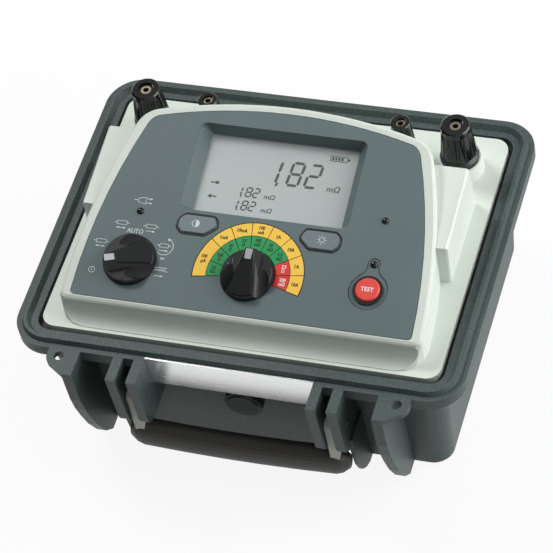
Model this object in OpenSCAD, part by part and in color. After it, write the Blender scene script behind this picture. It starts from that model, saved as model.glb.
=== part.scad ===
// Micro ohmmeter in the open lower half of a hard carrying case.
// Millimetres, Z up, origin on the ground under the middle of the case, front towards -Y.

/* [Case] */
// Width over the rim
case_w = 315; // [300:1:330]
// Depth over the rim
case_d = 244; // [236:1:256]
// Height of the rim ledge above the ground
rim_z = 104; // [98:1:116]
// Height of the rim's outer face
rim_face_h = 9; // [8:0.5:11]
// Corner radius of the rim in plan
rim_corner_r = 25; // [23:1:30]
// Distance from the rim face to the wall, just under the rim
wall_inset_top = 15.4; // [14.8:0.1:17]
// Distance from the rim face to the wall, at the ground
wall_inset_bottom = 20.6; // [19:0.1:23]
// Thickness of the walls
wall_t = 3.5; // [3:0.1:4.5]
// Thickness of the floor
floor_t = 4; // [3:0.5:6]
// Corner radius of the walls in plan
wall_corner_r = 14; // [11:1:18]
// Bevel round the bottom edge
bottom_bevel = 3; // [2:0.5:5]

/* [Rim] */
// Width of the flat ledge outside the tongue
ledge_w = 3.8; // [3:0.1:4.5]
// Height of the tongue over the ledge
tongue_h = 3.5; // [2.5:0.1:4.5]
// Slope of the tongue's outer wall, measured level
tongue_lean = 1.4; // [0.8:0.1:2]
// Width of the top of the tongue
tongue_w = 2.3; // [1.8:0.1:2.8]
// Slope of the tongue's inner wall, measured level
tongue_foot = 2.4; // [1.5:0.1:2.6]
// Drop of the inner strip below the ledge
strip_drop = 0.4; // [0.2:0.1:1]
// Distance from the rim face to the opening
opening_inset = 14.8; // [13.6:0.1:15.4]
// Depth of the shelf that carries the deck, below the ledge
shelf_drop = 7; // [6:0.1:7.6]

/* [Front lugs] */
// How far the lugs stand in front of the rim
lug_reach = 19.5; // [16:0.5:24]
// Height of the lugs below the ledge
lug_h = 53.5; // [46:0.5:56]
// Lean of the lugs' front edge over their height
lug_lean = 3.2; // [1:0.1:5]
// Radius of the lugs' lower front corner
lug_corner_r = 8; // [5:0.5:10]
// Inner face of the inner lug from the middle
lug_in_x = 59.1; // [56:0.1:62]
// Thickness of the inner lug
lug_in_t = 6.7; // [5:0.1:7]
// Gap between the inner and the outer lug, for the handle's arm
lug_gap = 7.6; // [7.1:0.1:9]
// Thickness of the outer lug
lug_out_t = 7; // [5:0.1:8]
// Thickness of the fin below the outer lug
fin_t = 2.8; // [2.2:0.1:3.5]
// Inner face of the buttress from the middle
buttress_x = 104.3; // [100:0.1:106]
// Thickness of the buttress
buttress_t = 7.2; // [5:0.1:8]
// Reach of the buttress in front of the rim
buttress_reach = 20; // [17:0.5:24]
// Radius of the padlock hole
padlock_r = 3.5; // [3:0.1:4.5]
// Radius of the padlock ear
ear_r = 8.8; // [7.5:0.1:10]
// Thickness of the padlock ear
ear_t = 4; // [3:0.1:6]
// Padlock hole from the outer face of the buttress
ear_x = 6.2; // [5:0.1:8]
// Padlock hole in front of the rim
ear_y = 5.5; // [4.5:0.1:7]

/* [Lid hinge knuckles] */
// Middle of a knuckle pair from the middle of the case
hinge_x = 85; // [70:1:100]
// Width over a knuckle pair
hinge_w = 24; // [20:1:30]
// Thickness of one knuckle
knuckle_t = 6; // [5:0.5:8]
// Radius of a knuckle
knuckle_r = 6.5; // [5.5:0.1:7]
// Radius of the hinge bore
hinge_r = 2.5; // [1.5:0.1:3]
// Hinge axis behind the rim
hinge_y = 2; // [0:0.5:3]
// Hinge axis below the ledge
hinge_drop = 16; // [15.5:0.5:18]

/* [Front plate and valve] */
// Thickness of the bare metal plate
plate_t = 1.2; // [0.8:0.1:2]
// Height of the plate
plate_h = 31; // [26:0.5:34]
// Setback of the plate's top edge behind the rim face
plate_set = 2; // [1.5:0.1:3]
// Setback that the plate gains down to its lower edge
plate_lean = 3.5; // [1:0.1:5]
// Thickness of the moulded panel behind the plate
panel_t = 3.2; // [2.5:0.1:4]
// Middle of the relief valve below the ledge
valve_drop = 49.5; // [48:0.5:56]
// Radius of the valve's knob
valve_r = 13.4; // [10:0.1:14]
// Thickness of the valve's knob
valve_knob_t = 6; // [4:0.1:7]
// Thickness of the valve's collar on the wall
valve_collar_t = 2.5; // [1.5:0.1:4]

/* [Handle] */
// Radius of the handle pins
pin_r = 3; // [2:0.1:3.5]
// Pin axis behind the lugs' front edge
pin_set = 12; // [10:0.1:13]
// Pin axis below the ledge
pin_drop = 30.5; // [26:0.5:34]
// Thickness of an arm
arm_t = 6.5; // [5:0.1:6.6]
// Half the width of an arm
arm_half = 5; // [4.4:0.1:5.5]
// Length of an arm below its pin
arm_len = 40; // [34:0.5:44]
// Middle of the grip below the pin
grip_drop = 42.5; // [38:0.5:46]
// Height of the grip
grip_h = 23; // [18:0.5:26]
// Thickness of the grip, front to back
grip_t = 17; // [13:0.5:19]
// Length over the grip's round ends
grip_len = 156; // [152:0.5:157]
// How far the grip sags at the middle
grip_bow = 3.5; // [0:0.1:5]

/* [Deck] */
// Distance from the rim face to the edge of the deck
deck_inset = 17.7; // [17:0.1:19]
// Height of the deck over the ledge
deck_rise = 0.8; // [0.3:0.1:2]
// Corner radius of the deck
deck_corner_r = 10; // [7:0.5:14]
// Thickness of the deck and of the console's walls
deck_t = 3; // [2.4:0.1:4]
// Thickness of the skirt round the deck
skirt_t = 2.5; // [2:0.1:3.5]
// Thickness of the seal under the skirt
seal_t = 2; // [1.5:0.1:3]

/* [Console] */
// Tilt of the console's face
face_pitch = 14.6; // [12:0.1:17]
// Height of the console's face over the ledge, at the middle of the case
face_rise = 41.2; // [38:0.1:46]
// Distance from the deck's side to the console's face, at the front
console_side_set = 12.8; // [11:0.1:16]
// Distance from the deck's front edge to the console's face
console_front_set = 12.9; // [11:0.1:15]
// Distance from the deck's rear edge to the console's face
console_rear_set = 40.4; // [36:0.1:44]
// Radius of the bowed sides
side_r = 441; // [380:1:520]
// Radius of the arched rear
arch_r = 353; // [300:1:420]
// Radius where the sides meet the arch
console_corner_r = 20; // [12:0.5:26]
// Radius of the front corners of the face
console_front_r = 4; // [3:0.5:7]
// Rounding of the edge of the face
crest_r = 2.4; // [1.5:0.1:3]
// Outward draft of the console's walls at the deck
console_draft = 2; // [1:0.1:3]
// Radius of the plan corners where the console meets the deck
console_foot_r = 22; // [14:0.5:26]
// Distance from the deck's side to a shoulder
shoulder_set = 10.8; // [9:0.1:12.4]
// Front end of a shoulder, from the middle of the case
shoulder_front_y = -22; // [-30:0.5:-16]
// Rear end of a shoulder, from the middle of the case
shoulder_rear_y = 42; // [36:0.5:46]
// Height of a shoulder over the ledge at its rear end
shoulder_rise = 41; // [38:0.1:44]
// Tilt of a shoulder
shoulder_pitch = 6.6; // [4:0.1:9]

/* [Fascia] */
// Thickness of the fascia panel
fascia_t = 1; // [0.8:0.1:1.5]
// Border between the face's side and the fascia, at the front
fascia_side = 7.8; // [7:0.1:11]
// Groove round the fascia
fascia_gap = 0.5; // [0.2:0.05:0.8]
// Border between the face's front edge and the fascia
fascia_front = 3.6; // [3:0.1:5]
// Border between the face's rear edge and the fascia
fascia_rear = 6.3; // [5:0.1:8]
// Radius of the fascia's sides
fascia_side_r = 403; // [360:1:480]
// Radius of the fascia's rear corners
fascia_corner_r = 11; // [7:0.5:15]
// Radius of the fascia's front corners
fascia_front_r = 3; // [2:0.5:5]

/* [Display] */
// Width of the display window
window_w = 105.9; // [98:0.1:108]
// Height of the display window
window_h = 58.6; // [54:0.1:60]
// Middle of the display window up the face
window_v = 13.9; // [11:0.1:15]
// Depth of the display window below the face
window_depth = 9.1; // [7:0.1:10]
// Slope of the frame's side walls, measured level
bezel_side = 7; // [4:0.1:8]
// Slope of the frame's upper and lower walls, measured level
bezel_end = 3.6; // [2:0.1:5]
// Corner radius of the frame's mouth
bezel_r = 5; // [3:0.5:7]
// Width of the frame's flange under the fascia
bezel_flange = 3; // [2:0.1:4]
// Thickness of the window
glass_t = 1.5; // [1:0.1:2]
// Thickness of the display module
module_t = 5; // [3:0.1:7]
// Thickness of the printed boards
board_t = 1.6; // [1.2:0.1:2.4]

/* [Rotary knobs] */
// Both knobs' axes up the face
knob_v = -61.5; // [-63:0.1:-60]
// The mode knob from the fascia's side
mode_set = 35.4; // [32:0.1:38]
// The range knob from the middle
range_u = 0; // [-3:0.1:3]
// Radius of a knob at the fascia
knob_r = 18.8; // [16:0.1:19.5]
// Radius of the flat top of the knob's disc
knob_disc_r = 17.2; // [15:0.1:18]
// Height of the knob's disc
knob_disc_h = 4.6; // [3:0.1:6]
// Height of the grip wedge over the disc, at the pointer
bar_h = 7.6; // [5:0.1:9]
// Half width of the grip wedge at the pointer
bar_tip = 2.4; // [2.2:0.1:3.5]
// Half width of the grip wedge at its tail
bar_tail = 8.4; // [6:0.1:9]
// How much wider the grip wedge is at its root, each side
bar_flare = 4; // [2:0.1:5]
// Radius of the finger scoops beside the wedge
scoop_r = 6.5; // [5:0.1:9]
// Radius of the knobs' shafts
shaft_r = 3; // [2.5:0.1:3.5]
// Pointing direction of the mode knob at rest, degrees from the right
mode_angle = 202.5; // [180:0.5:225]
// Pointing direction of the range knob at rest, degrees from the right
range_angle = 86.8; // [60:0.2:100]

/* [Buttons and lamps] */
// Test button from the fascia's side
test_set = 35.8; // [32:0.1:38]
// Test button up the face
test_v = -60.6; // [-64:0.1:-58]
// Radius of the test button
test_r = 8.35; // [7:0.05:9.5]
// Wall of the ring round the test button
test_ring_w = 1.9; // [1.2:0.1:3]
// Height of the ring round the test button
test_ring_h = 1.2; // [0.8:0.1:2]
// Height of the test button over its ring
test_proud = 1.6; // [1.2:0.1:2.5]
// Travel of the test button
test_travel = 1.2; // [0.8:0.1:1.5]
// Middle of the contrast and backlight buttons from the middle
key_u = 43.3; // [42:0.1:45]
// Middle of the contrast and backlight buttons up the face
key_v = -29.6; // [-30:0.1:-29]
// Radius of the sunk field round the test button
keyhole_r = 13; // [12:0.1:15]
// Radius of the sunk field round its lamp
keyhole_lamp_r = 4; // [3.5:0.1:5]
// Depth of the sunk field
keyhole_depth = 0.3; // [0.1:0.05:0.5]
// Width of a key
key_w = 26.4; // [22:0.1:27]
// Height of a key
key_h = 12.6; // [10:0.1:13]
// How far a key stands over the fascia
key_proud = 1; // [0.9:0.1:1.6]
// Travel of a key
key_travel = 0.6; // [0.4:0.1:0.8]
// Radius of a lamp
lamp_r = 2.1; // [1.5:0.1:2.5]
// Height of a lamp's dome over the fascia
lamp_proud = 1.3; // [1:0.1:2]

/* [Terminals] */
// Current terminals from the deck's side
current_set_x = 28.1; // [27:0.1:30]
// Current terminals from the deck's rear edge
current_set_y = 29; // [26:0.1:30]
// Top of a current terminal over the ledge
current_top = 45.5; // [42:0.1:48]
// Seat of a current terminal over the ledge
current_seat = 12; // [9:0.1:14]
// Radius of a current terminal's cap at the top
current_cap_r = 10.3; // [9:0.1:11]
// Radius of a current terminal's cap at the bottom
current_skirt_r = 12.6; // [11.5:0.1:13]
// Radius of a current terminal's base
current_base_r = 13.5; // [13:0.1:15]
// Potential terminals from the deck's side
potential_set_x = 69.9; // [68:0.1:72]
// Potential terminals from the deck's rear edge
potential_set_y = 22.3; // [20:0.1:24]
// Top of a potential terminal over the ledge
potential_top = 33.6; // [32:0.1:36]
// Seat of a potential terminal over the ledge
potential_seat = 8; // [6:0.1:9]
// Radius of a potential terminal's cap at the top
potential_cap_r = 7; // [6.4:0.1:7.5]
// Radius of a potential terminal's cap at the bottom
potential_skirt_r = 8.4; // [7.8:0.1:9]
// Radius of a potential terminal's base
potential_base_r = 9; // [8.5:0.1:10]
// Radius of the test plug sockets
socket_r = 2; // [1.9:0.05:2.2]
// Depth of the test plug sockets
socket_depth = 22; // [18:0.5:24]
// Height of a terminal's base
terminal_base_h = 5.6; // [4:0.1:7]
// Thickness of a clamping washer
washer_t = 1.5; // [1:0.1:2]
// Number of flutes round a cap
flutes = 14; // [10:1:18]

/* [Inside] */
// Room between the main board's ends and the walls
main_board_side = 23.4; // [15:0.1:30]
// Room between the main board and the battery pack
board_gap = 24.3; // [18:0.1:36]
// Height of the stand-offs under the main board
standoff_h = 12; // [8:0.5:16]
// Width of the battery pack
battery_w = 104; // [90:1:110]
// Depth of the battery pack
battery_d = 62; // [50:1:66]
// Height of the battery pack
battery_h = 42; // [36:1:46]
// Width of the transformer
transformer_w = 62; // [50:1:66]
// Depth of the transformer
transformer_d = 54; // [44:1:58]
// Height of the transformer
transformer_h = 50; // [40:1:54]

/* [Hidden] */

// Resolution, overrun of cuts and fits
$fn = 48;
big_fn = 180;
over = 1;
slice_t = 0.05;
running_fit = 0.05;
press_fit = 0.02;
small_gap = 0.3;

// Case, worked out
front_y = -case_d / 2;
rear_y = case_d / 2;
shelf_z = rim_z - shelf_drop;
rim_under_z = rim_z - rim_face_h;
wall_low_z = bottom_bevel;
wall_high_z = rim_under_z + (rim_face_h - shelf_drop) / 2;
wall_slope = (wall_inset_bottom - wall_inset_top) / (wall_high_z - wall_low_z);
cavity_inset_top = wall_inset(rim_under_z) + wall_t;
cavity_inset_bottom = wall_inset(floor_t) + wall_t;
cavity_corner_r = wall_corner_r - wall_t;

// Lugs, worked out
lug_out_x = lug_in_x + lug_in_t + lug_gap;
lug_out_end = lug_out_x + lug_out_t;
lug_front_y = front_y - lug_reach;
pin_y = lug_front_y + pin_set;
pin_z = rim_z - pin_drop;
wall_foot_y = front_y + wall_inset_bottom - bottom_bevel;
lug_root_y = front_y + cavity_inset_bottom + over;
lug_root_z = rim_z - (rim_face_h + shelf_drop) / 2;
lug_inner_y = front_y + ledge_w + tongue_lean;
// Profiles of the buttress and the fin: share of the way out, share of the way down
buttress_shares = [[1, 0], [0.99, 0.135], [0.97, 0.29], [0.91, 0.42], [0.82, 0.54], [0.67, 0.71],
                   [0.45, 0.885], [0.2, 0.985]];
fin_shares = [[0.66, 0.45], [0.63, 0.615], [0.575, 0.76], [0.45, 0.875], [0.275, 0.942], [0.06, 0.985]];
buttress_out = wall_foot_y - (front_y - buttress_reach);
ear_cx = buttress_x + buttress_t + ear_x;
ear_cy = front_y - ear_y;
ear_neck_share = 0.45;

// Hinge, worked out
hinge_axis_y = rear_y + hinge_y;
hinge_axis_z = rim_z - hinge_drop;

// Plate and valve, worked out
plate_half = lug_in_x - 0.5 * small_gap;
plate_top_y = front_y + plate_set;
valve_z = rim_z - valve_drop;
valve_wall_y = front_y + wall_inset(valve_z);
valve_lean = atan(wall_slope);
valve_stem_r = valve_r / 3;
valve_grips = 24;
valve_grip_r = valve_r / 13;

// Handle, worked out
arm_x = lug_in_x + lug_in_t + (lug_gap - arm_t) / 2;
grip_z = pin_z - grip_drop;
grip_end_r = grip_h / 2;
grip_levels = 5;
grip_body_share = 0.88;

// Deck, worked out
deck_w = case_w - 2 * deck_inset;
deck_d = case_d - 2 * deck_inset;
deck_z = rim_z + deck_rise;
console_w = deck_w - 2 * console_side_set;
shoulder_x = deck_w / 2 - shoulder_set;
skirt_z = shelf_z + seal_t;
face_z = rim_z + face_rise;
face_cos = cos(face_pitch);
console_front_v = (-deck_d / 2 + console_front_set) / face_cos;
console_rear_v = (deck_d / 2 - console_rear_set) / face_cos;
crest_steps = 2;
cove_z = face_z + console_front_v * sin(face_pitch) - crest_r;
cove_r = cove_z - deck_z;
cove_y = console_front_v * face_cos - cove_r;
foot_front_y = -deck_d / 2 + slice_t;
foot_rear_y = console_rear_v * face_cos + console_draft;
shoulder_len = shoulder_rear_y - shoulder_front_y;
shoulder_in_x = shoulder_x - console_w / 6;
shoulder_end_draft = 5;

// Fascia and display, worked out
fascia_w = console_w - 2 * fascia_side;
mode_u = mode_set - fascia_w / 2;
test_u = fascia_w / 2 - test_set;
fascia_front_v = console_front_v + fascia_front;
fascia_rear_v = console_rear_v - fascia_rear;
fascia_arch_r = arch_r - fascia_rear + console_draft;
bezel_w = window_w + 2 * bezel_side;
bezel_h = window_h + 2 * bezel_end;
frame_t = window_depth + glass_t + module_t / 2 - fascia_t;
glass_lip = bezel_flange / 2;
module_w = window_w + 2 * glass_lip;
module_h = window_h + 2 * glass_lip;
module_dz = -window_depth - glass_t;
board_dz = module_dz - module_t;
face_inner_dz = -fascia_t - deck_t;
display_board_w = bezel_w + 10 * deck_t;
display_board_h = bezel_h + 4 * deck_t;
display_board_v = window_v - 3 * deck_t;
post_r = deck_t;
switch_depth = 4 * deck_t;
switch_dz = face_inner_dz - switch_depth;
switch_r = knob_disc_r - deck_t;
bush_r = 1.5 * shaft_r;
wedge_tip = knob_disc_r - bar_h / 3;
wedge_drop = atan(bar_h / (wedge_tip + knob_disc_r));
wedge_yaw = atan((bar_tail - bar_tip) / (wedge_tip + knob_disc_r));
scoop_y = (bar_tip + bar_tail) / 2 + 1.05 * scoop_r;
switch_board_w = 2 * (max(-mode_u + switch_r, test_u + 2 * test_r) + 4 * post_r);
switch_board_h = 2 * knob_r + deck_t;

// Buttons and lamps, worked out
lamp_side = 1.8;
mains_lamp_v = -24.9;
contact_lamp_v = -9.3;
test_lamp_v = -41.4;
keyhole_fillet = 2 * keyhole_lamp_r;
ring_r = test_r + running_fit + test_ring_w;
stem_r = test_r / 3;
key_edge_r = key_h / 4;
key_gap = 0.4;
lamp_places = [[mode_u - lamp_side, mains_lamp_v], [test_u + lamp_side / 3, contact_lamp_v],
                [test_u, test_lamp_v]];
lamp_flange = lamp_r / 2;
lamp_tail = deck_t;

// Terminals, worked out
current_x = deck_w / 2 - current_set_x;
current_y = deck_d / 2 - current_set_y;
potential_x = deck_w / 2 - potential_set_x;
potential_y = deck_d / 2 - potential_set_y;
current_stud_r = 3.7;
potential_stud_r = 3.1;
cap_ring_share = 0.54;
cap_ring_depth = washer_t;
flute_share = 0.13;
cap_rim_share = 0.18;
nut_h = 2 * washer_t;
stud_tail = nut_h + washer_t;
boss_flare = deck_t;

// Boards, worked out
main_board_w = case_w - 2 * (cavity_inset_bottom + main_board_side);
main_board_d = case_d - 2 * cavity_inset_bottom - battery_d - 6 * board_t - 2 * deck_t - board_gap;
main_board_y = front_y + cavity_inset_bottom + main_board_d / 2 + 2 * deck_t;
main_board_z = floor_t + standoff_h;
standoff_r = deck_t;
battery_x = cavity_inset_bottom + 5 * wall_t + battery_w / 2 - case_w / 2;
battery_y = rear_y - cavity_inset_bottom - battery_d / 2 - 6 * board_t;
transformer_x = case_w / 2 - cavity_inset_bottom - 5 * wall_t - transformer_w / 2;
strap_t = board_t;
strap_w = battery_w / 6;
fins = 9;

// Distance from the rim's face to the wall at a height
function wall_inset(z) = wall_inset_bottom - wall_slope * (z - wall_low_z);

// Points along an arc
function arc(c, r, a0, a1, n) =
    [for (i = [0:n]) let (a = a0 + (a1 - a0) * i / n) c + r * [cos(a), sin(a)]];

// Rectangle with round corners, about the origin
module round_rect(w, d, r) {
    square([w - 2 * r, d], center = true);
    square([w, d - 2 * r], center = true);
    for (sx = [-1, 1], sy = [-1, 1])
        translate([sx * (w / 2 - r), sy * (d / 2 - r)]) circle(r);
}

// A round rectangle that follows the rim's edge at an inset
module case_plan(inset, r) {
    round_rect(case_w - 2 * inset, case_d - 2 * inset, r);
}

// A thin level slice at height z, for hulls
module slice(z) {
    translate([0, 0, z]) linear_extrude(slice_t) children();
}

// A profile drawn as (inset, height), carried round the rim
module around_rim() {
    for (k = [0:3]) {
        run = (k % 2 == 0 ? case_w : case_d) - 2 * rim_corner_r;
        out = (k % 2 == 0 ? case_d : case_w) / 2;
        rotate(90 * k) {
            translate([-run / 2, -out, 0]) rotate([90, 0, 90]) linear_extrude(run) children();
            translate([run / 2, rim_corner_r - out, 0]) rotate(-90) rotate_extrude(angle = 90)
                translate([rim_corner_r, 0]) mirror([1, 0]) children();
        }
    }
}

// An outline in (y, z), made into a plate from x0 to x1
module plate_yz(x0, x1) {
    translate([x0, 0, 0]) rotate([90, 0, 90]) linear_extrude(x1 - x0) children();
}

module both_sides() {
    for (s = [0, 1]) mirror([s, 0, 0]) children();
}

// Rod along X
module rod_x(x0, x1, y, z, r) {
    translate([x0, y, z]) rotate([0, 90, 0]) cylinder(r = r, h = x1 - x0);
}

module rim_profile() {
    tongue_out = ledge_w + tongue_lean;
    tongue_in = tongue_out + tongue_w;
    strip_in = tongue_in + tongue_foot;
    polygon([[0, rim_under_z], [0, rim_z], [ledge_w, rim_z], [tongue_out, rim_z + tongue_h],
             [tongue_in, rim_z + tongue_h], [strip_in, rim_z - strip_drop],
             [opening_inset, rim_z - strip_drop], [opening_inset, shelf_z],
             [cavity_inset_top + tongue_lean, shelf_z], [cavity_inset_top + tongue_lean, rim_under_z]]);
}

module lug_outline() {
    corner_y = lug_front_y + lug_lean + lug_corner_r;
    corner_z = rim_z - lug_h + lug_corner_r;
    polygon(concat([[lug_inner_y, rim_z], [lug_front_y, rim_z]],
                   arc([corner_y, corner_z], lug_corner_r, 180, 270, 6),
                   [[lug_root_y, rim_z - lug_h], [lug_root_y, lug_root_z], [lug_inner_y, lug_root_z]]));
}

// Outline that reaches down to the foot of the wall, from a list of shares
module buttress_outline(shares) {
    top_z = rim_z - shares[0][1] * rim_z;
    root_y = top_z > lug_root_z ? lug_inner_y : lug_root_y;
    polygon(concat([for (s = shares) [wall_foot_y - s[0] * buttress_out, rim_z - s[1] * rim_z]],
                   [[lug_root_y, rim_z - shares[len(shares) - 1][1] * rim_z],
                    [lug_root_y, min(top_z, lug_root_z)], [root_y, min(top_z, lug_root_z)], [root_y, top_z]]));
}

module padlock_ear() {
    translate([0, 0, rim_z - ear_t]) linear_extrude(ear_t) {
        translate([ear_cx, ear_cy]) circle(ear_r);
        polygon([[buttress_x, front_y + ledge_w], [buttress_x, front_y - buttress_reach],
                 [buttress_x + buttress_t, front_y - buttress_reach],
                 [ear_cx + ear_neck_share * ear_r, ear_cy - ear_r * sqrt(1 - pow(ear_neck_share, 2))],
                 [ear_cx + ear_r, ear_cy], [ear_cx + ear_r, front_y + ledge_w]]);
    }
}

// Moulded panel between the inner lugs, which carries the metal plate
module plate_panel() {
    plate_yz(-lug_in_x - over, lug_in_x + over)
        polygon([[plate_top_y + plate_t, rim_z], [plate_top_y + plate_t + plate_lean, rim_z - plate_h],
                 [plate_top_y + plate_t + plate_lean + panel_t, rim_z - plate_h],
                 [plate_top_y + plate_t + panel_t + plate_lean, rim_under_z],
                 [lug_root_y, rim_under_z], [lug_root_y, lug_root_z],
                 [plate_top_y + plate_t + panel_t, lug_root_z], [plate_top_y + plate_t + panel_t, rim_z]]);
}

module hinge_knuckle(x) {
    plate_yz(x, x + knuckle_t) {
        translate([hinge_axis_y, hinge_axis_z]) circle(knuckle_r);
        polygon([[hinge_axis_y, hinge_axis_z + knuckle_r], [hinge_axis_y, rim_under_z + over / 2],
                 [rear_y - wall_inset_top, rim_under_z + over / 2],
                 [rear_y - cavity_inset_top, hinge_axis_z - 2 * knuckle_r],
                 [rear_y - wall_inset_top, hinge_axis_z - 2 * knuckle_r],
                 [hinge_axis_y, hinge_axis_z - knuckle_r]]);
    }
}

module case_walls() {
    hull() {
        slice(0) case_plan(wall_inset_bottom + bottom_bevel, wall_corner_r - bottom_bevel);
        slice(wall_low_z) case_plan(wall_inset_bottom, wall_corner_r);
        slice(wall_high_z) case_plan(wall_inset_top, wall_corner_r);
    }
}

module case_cavity() {
    hull() {
        slice(floor_t) case_plan(cavity_inset_bottom, cavity_corner_r);
        slice(shelf_z + over) case_plan(wall_inset(shelf_z + over) + wall_t, cavity_corner_r);
    }
}

module base_case() color("#4a5557") {
    difference() {
        union() {
            around_rim() rim_profile();
            case_walls();
            plate_panel();
            both_sides() {
                plate_yz(lug_in_x, lug_in_x + lug_in_t) lug_outline();
                plate_yz(lug_out_x, lug_out_end) lug_outline();
                plate_yz(lug_out_end + 0.5 * fin_t - fin_t, lug_out_end + 0.5 * fin_t)
                    buttress_outline(fin_shares);
                plate_yz(buttress_x, buttress_x + buttress_t) buttress_outline(buttress_shares);
                padlock_ear();
                hinge_knuckle(hinge_x - hinge_w / 2);
                hinge_knuckle(hinge_x + hinge_w / 2 - knuckle_t);
            }
        }
        case_cavity();
        plate_recess();
        both_sides() {
            rod_x(lug_in_x - over, lug_out_end + over, pin_y, pin_z, pin_r + press_fit);
            translate([ear_cx, ear_cy, rim_z - ear_t - over]) cylinder(r = padlock_r, h = ear_t + 2 * over);
            rod_x(hinge_x - hinge_w / 2 - over, hinge_x + hinge_w / 2 + over,
                  hinge_axis_y, hinge_axis_z, hinge_r);
        }
        valve_place() translate([0, 0, -wall_t - over])
            cylinder(r = valve_stem_r + press_fit, h = wall_t + 2 * over);
    }
}

// Room in the rim for the metal plate
module plate_recess() {
    plate_yz(-lug_in_x, lug_in_x)
        polygon([[plate_top_y + plate_t, rim_z + over], [plate_top_y + plate_t, rim_z],
                 [plate_top_y + plate_t + plate_lean, rim_z - plate_h],
                 [front_y - over, rim_z - plate_h], [front_y - over, rim_z + over]]);
}

module deck_seal() color("#101010") {
    seal_out = opening_inset + running_fit;
    translate([0, 0, shelf_z]) linear_extrude(seal_t) difference() {
        case_plan(seal_out, rim_corner_r - seal_out);
        case_plan(deck_inset + skirt_t, deck_corner_r - skirt_t);
    }
}

module front_plate() color("#c9ccce") {
    plate_yz(-plate_half, plate_half)
        polygon([[plate_top_y, rim_z], [plate_top_y + plate_t, rim_z],
                 [plate_top_y + plate_t + plate_lean, rim_z - plate_h],
                 [plate_top_y + plate_lean, rim_z - plate_h]]);
}

// Axis of the valve: square to the front wall, Z outwards
module valve_place() {
    translate([0, valve_wall_y, valve_z]) rotate([90 + valve_lean, 0, 0]) children();
}

module valve_body() color("#2b2f31") {
    valve_place() {
        cylinder(r = valve_r, h = valve_collar_t);
        translate([0, 0, -wall_t - washer_t]) cylinder(r = valve_stem_r, h = wall_t + 2 * washer_t);
        translate([0, 0, -wall_t - valve_collar_t]) cylinder(r = 2 * valve_stem_r, h = valve_collar_t);
    }
}

module valve_knob() color("#3b4144") {
    valve_place() translate([0, 0, valve_collar_t + small_gap]) difference() {
        union() {
            cylinder(r = valve_r, h = 0.75 * valve_knob_t);
            cylinder(r1 = valve_r, r2 = 0.8 * valve_r, h = valve_knob_t);
        }
        for (i = [1:valve_grips]) rotate(i * 360 / valve_grips)
            translate([valve_r + 0.4 * valve_grip_r, 0, -over])
                cylinder(r = valve_grip_r, h = valve_knob_t + 2 * over);
    }
}

module handle_pins() color("#9a9c9c") {
    both_sides() rod_x(lug_in_x, lug_out_end, pin_y, pin_z, pin_r);
}

// Outline of an arm in (y, z)
module arm_outline() {
    translate([pin_y, pin_z]) circle(arm_half + small_gap);
    translate([pin_y, pin_z - arm_len]) circle(arm_half);
    translate([pin_y - arm_half, pin_z - arm_len]) square([2 * arm_half, arm_len]);
}

module handle_arms() color("#b9bcb4") {
    both_sides() difference() {
        plate_yz(arm_x, arm_x + arm_t) arm_outline();
        rod_x(arm_x - over, arm_x + arm_t + over, pin_y, pin_z, pin_r + running_fit);
    }
}

// Half of the grip, as slices along X whose middle sags
module grip_section(x, share) {
    sag = grip_bow * (1 - pow(2 * x / grip_len, 2));
    translate([x, pin_y, grip_z - sag + grip_bow / 2]) rotate([90, 0, 90]) linear_extrude(slice_t)
        scale([grip_t * share, grip_h * share]) circle(d = 1, $fn = 24);
}

module handle_grip() color("#17181a") {
    half = grip_len / 2;
    difference() {
        union() {
            for (i = [0:grip_levels - 1])
                hull() {
                    grip_section(half * grip_body_share * (2 * i / grip_levels - 1), 1);
                    grip_section(half * grip_body_share * (2 * (i + 1) / grip_levels - 1), 1);
                }
            both_sides() hull() {
                grip_section(half * grip_body_share, 1);
                grip_section(half * (1 + grip_body_share) / 2, 0.86);
                grip_section(half - slice_t, 0.5);
            }
        }
        both_sides() plate_yz(arm_x - press_fit, arm_x + arm_t + press_fit)
            offset(delta = press_fit) arm_outline();
    }
}

// The face of the console: X across, Y up the slope, Z out of it
module on_face() {
    translate([0, 0, face_z]) rotate([face_pitch, 0, 0]) children();
}

// Points without the first one
function tail(pts) = [for (i = [1:len(pts) - 1]) pts[i]];

// Points of a half outline, carried on over the Y axis
function mirrored(pts) = [for (i = [len(pts) - 1:-1:0]) [-pts[i][0], pts[i][1]]];

// Outline with bowed sides and an arched rear, every arc tangent to the next
function bowed_outline(w, v0, v1, rs, ra, rc, rf) =
    let (side = [w / 2 - rs, v0],
         arch = [0, v1 - ra],
         front = side + [sqrt(pow(rs - rf, 2) - rf * rf), rf],
         apart = norm(arch - side),
         along = (arch - side) / apart,
         run = (pow(rs - rc, 2) - pow(ra - rc, 2) + apart * apart) / (2 * apart),
         rise = sqrt(pow(rs - rc, 2) - run * run),
         corner = side + run * along + rise * [-along[1], along[0]] * sign(-along[1]),
         a0 = atan2(front[1] - side[1], front[0] - side[0]),
         a1 = atan2(corner[1] - side[1], corner[0] - side[0]),
         a2 = atan2(corner[1] - arch[1], corner[0] - arch[0]),
         half = concat(arc(front, rf, -90, a0, 4), tail(arc(side, rs, a0, a1, 7)),
                       tail(arc(corner, rc, a1, a2, 7)), tail(arc(arch, ra, a2, 90, 8))))
    concat(half, tail(mirrored(half)));

module console_outline(w, v0, v1, rs, ra, rc, rf) {
    polygon(bowed_outline(w, v0, v1, rs, ra, rc, rf));
}

module face_outline(inset) {
    console_outline(console_w - 2 * inset, console_front_v + inset, console_rear_v - inset,
                    side_r - inset, arch_r - inset, console_corner_r - inset, console_front_r);
}

module foot_outline(inset) {
    console_outline(console_w + 2 * console_draft - 2 * inset, foot_front_y + inset, foot_rear_y - inset,
                    side_r, arch_r, console_corner_r, console_foot_r - inset);
}

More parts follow.
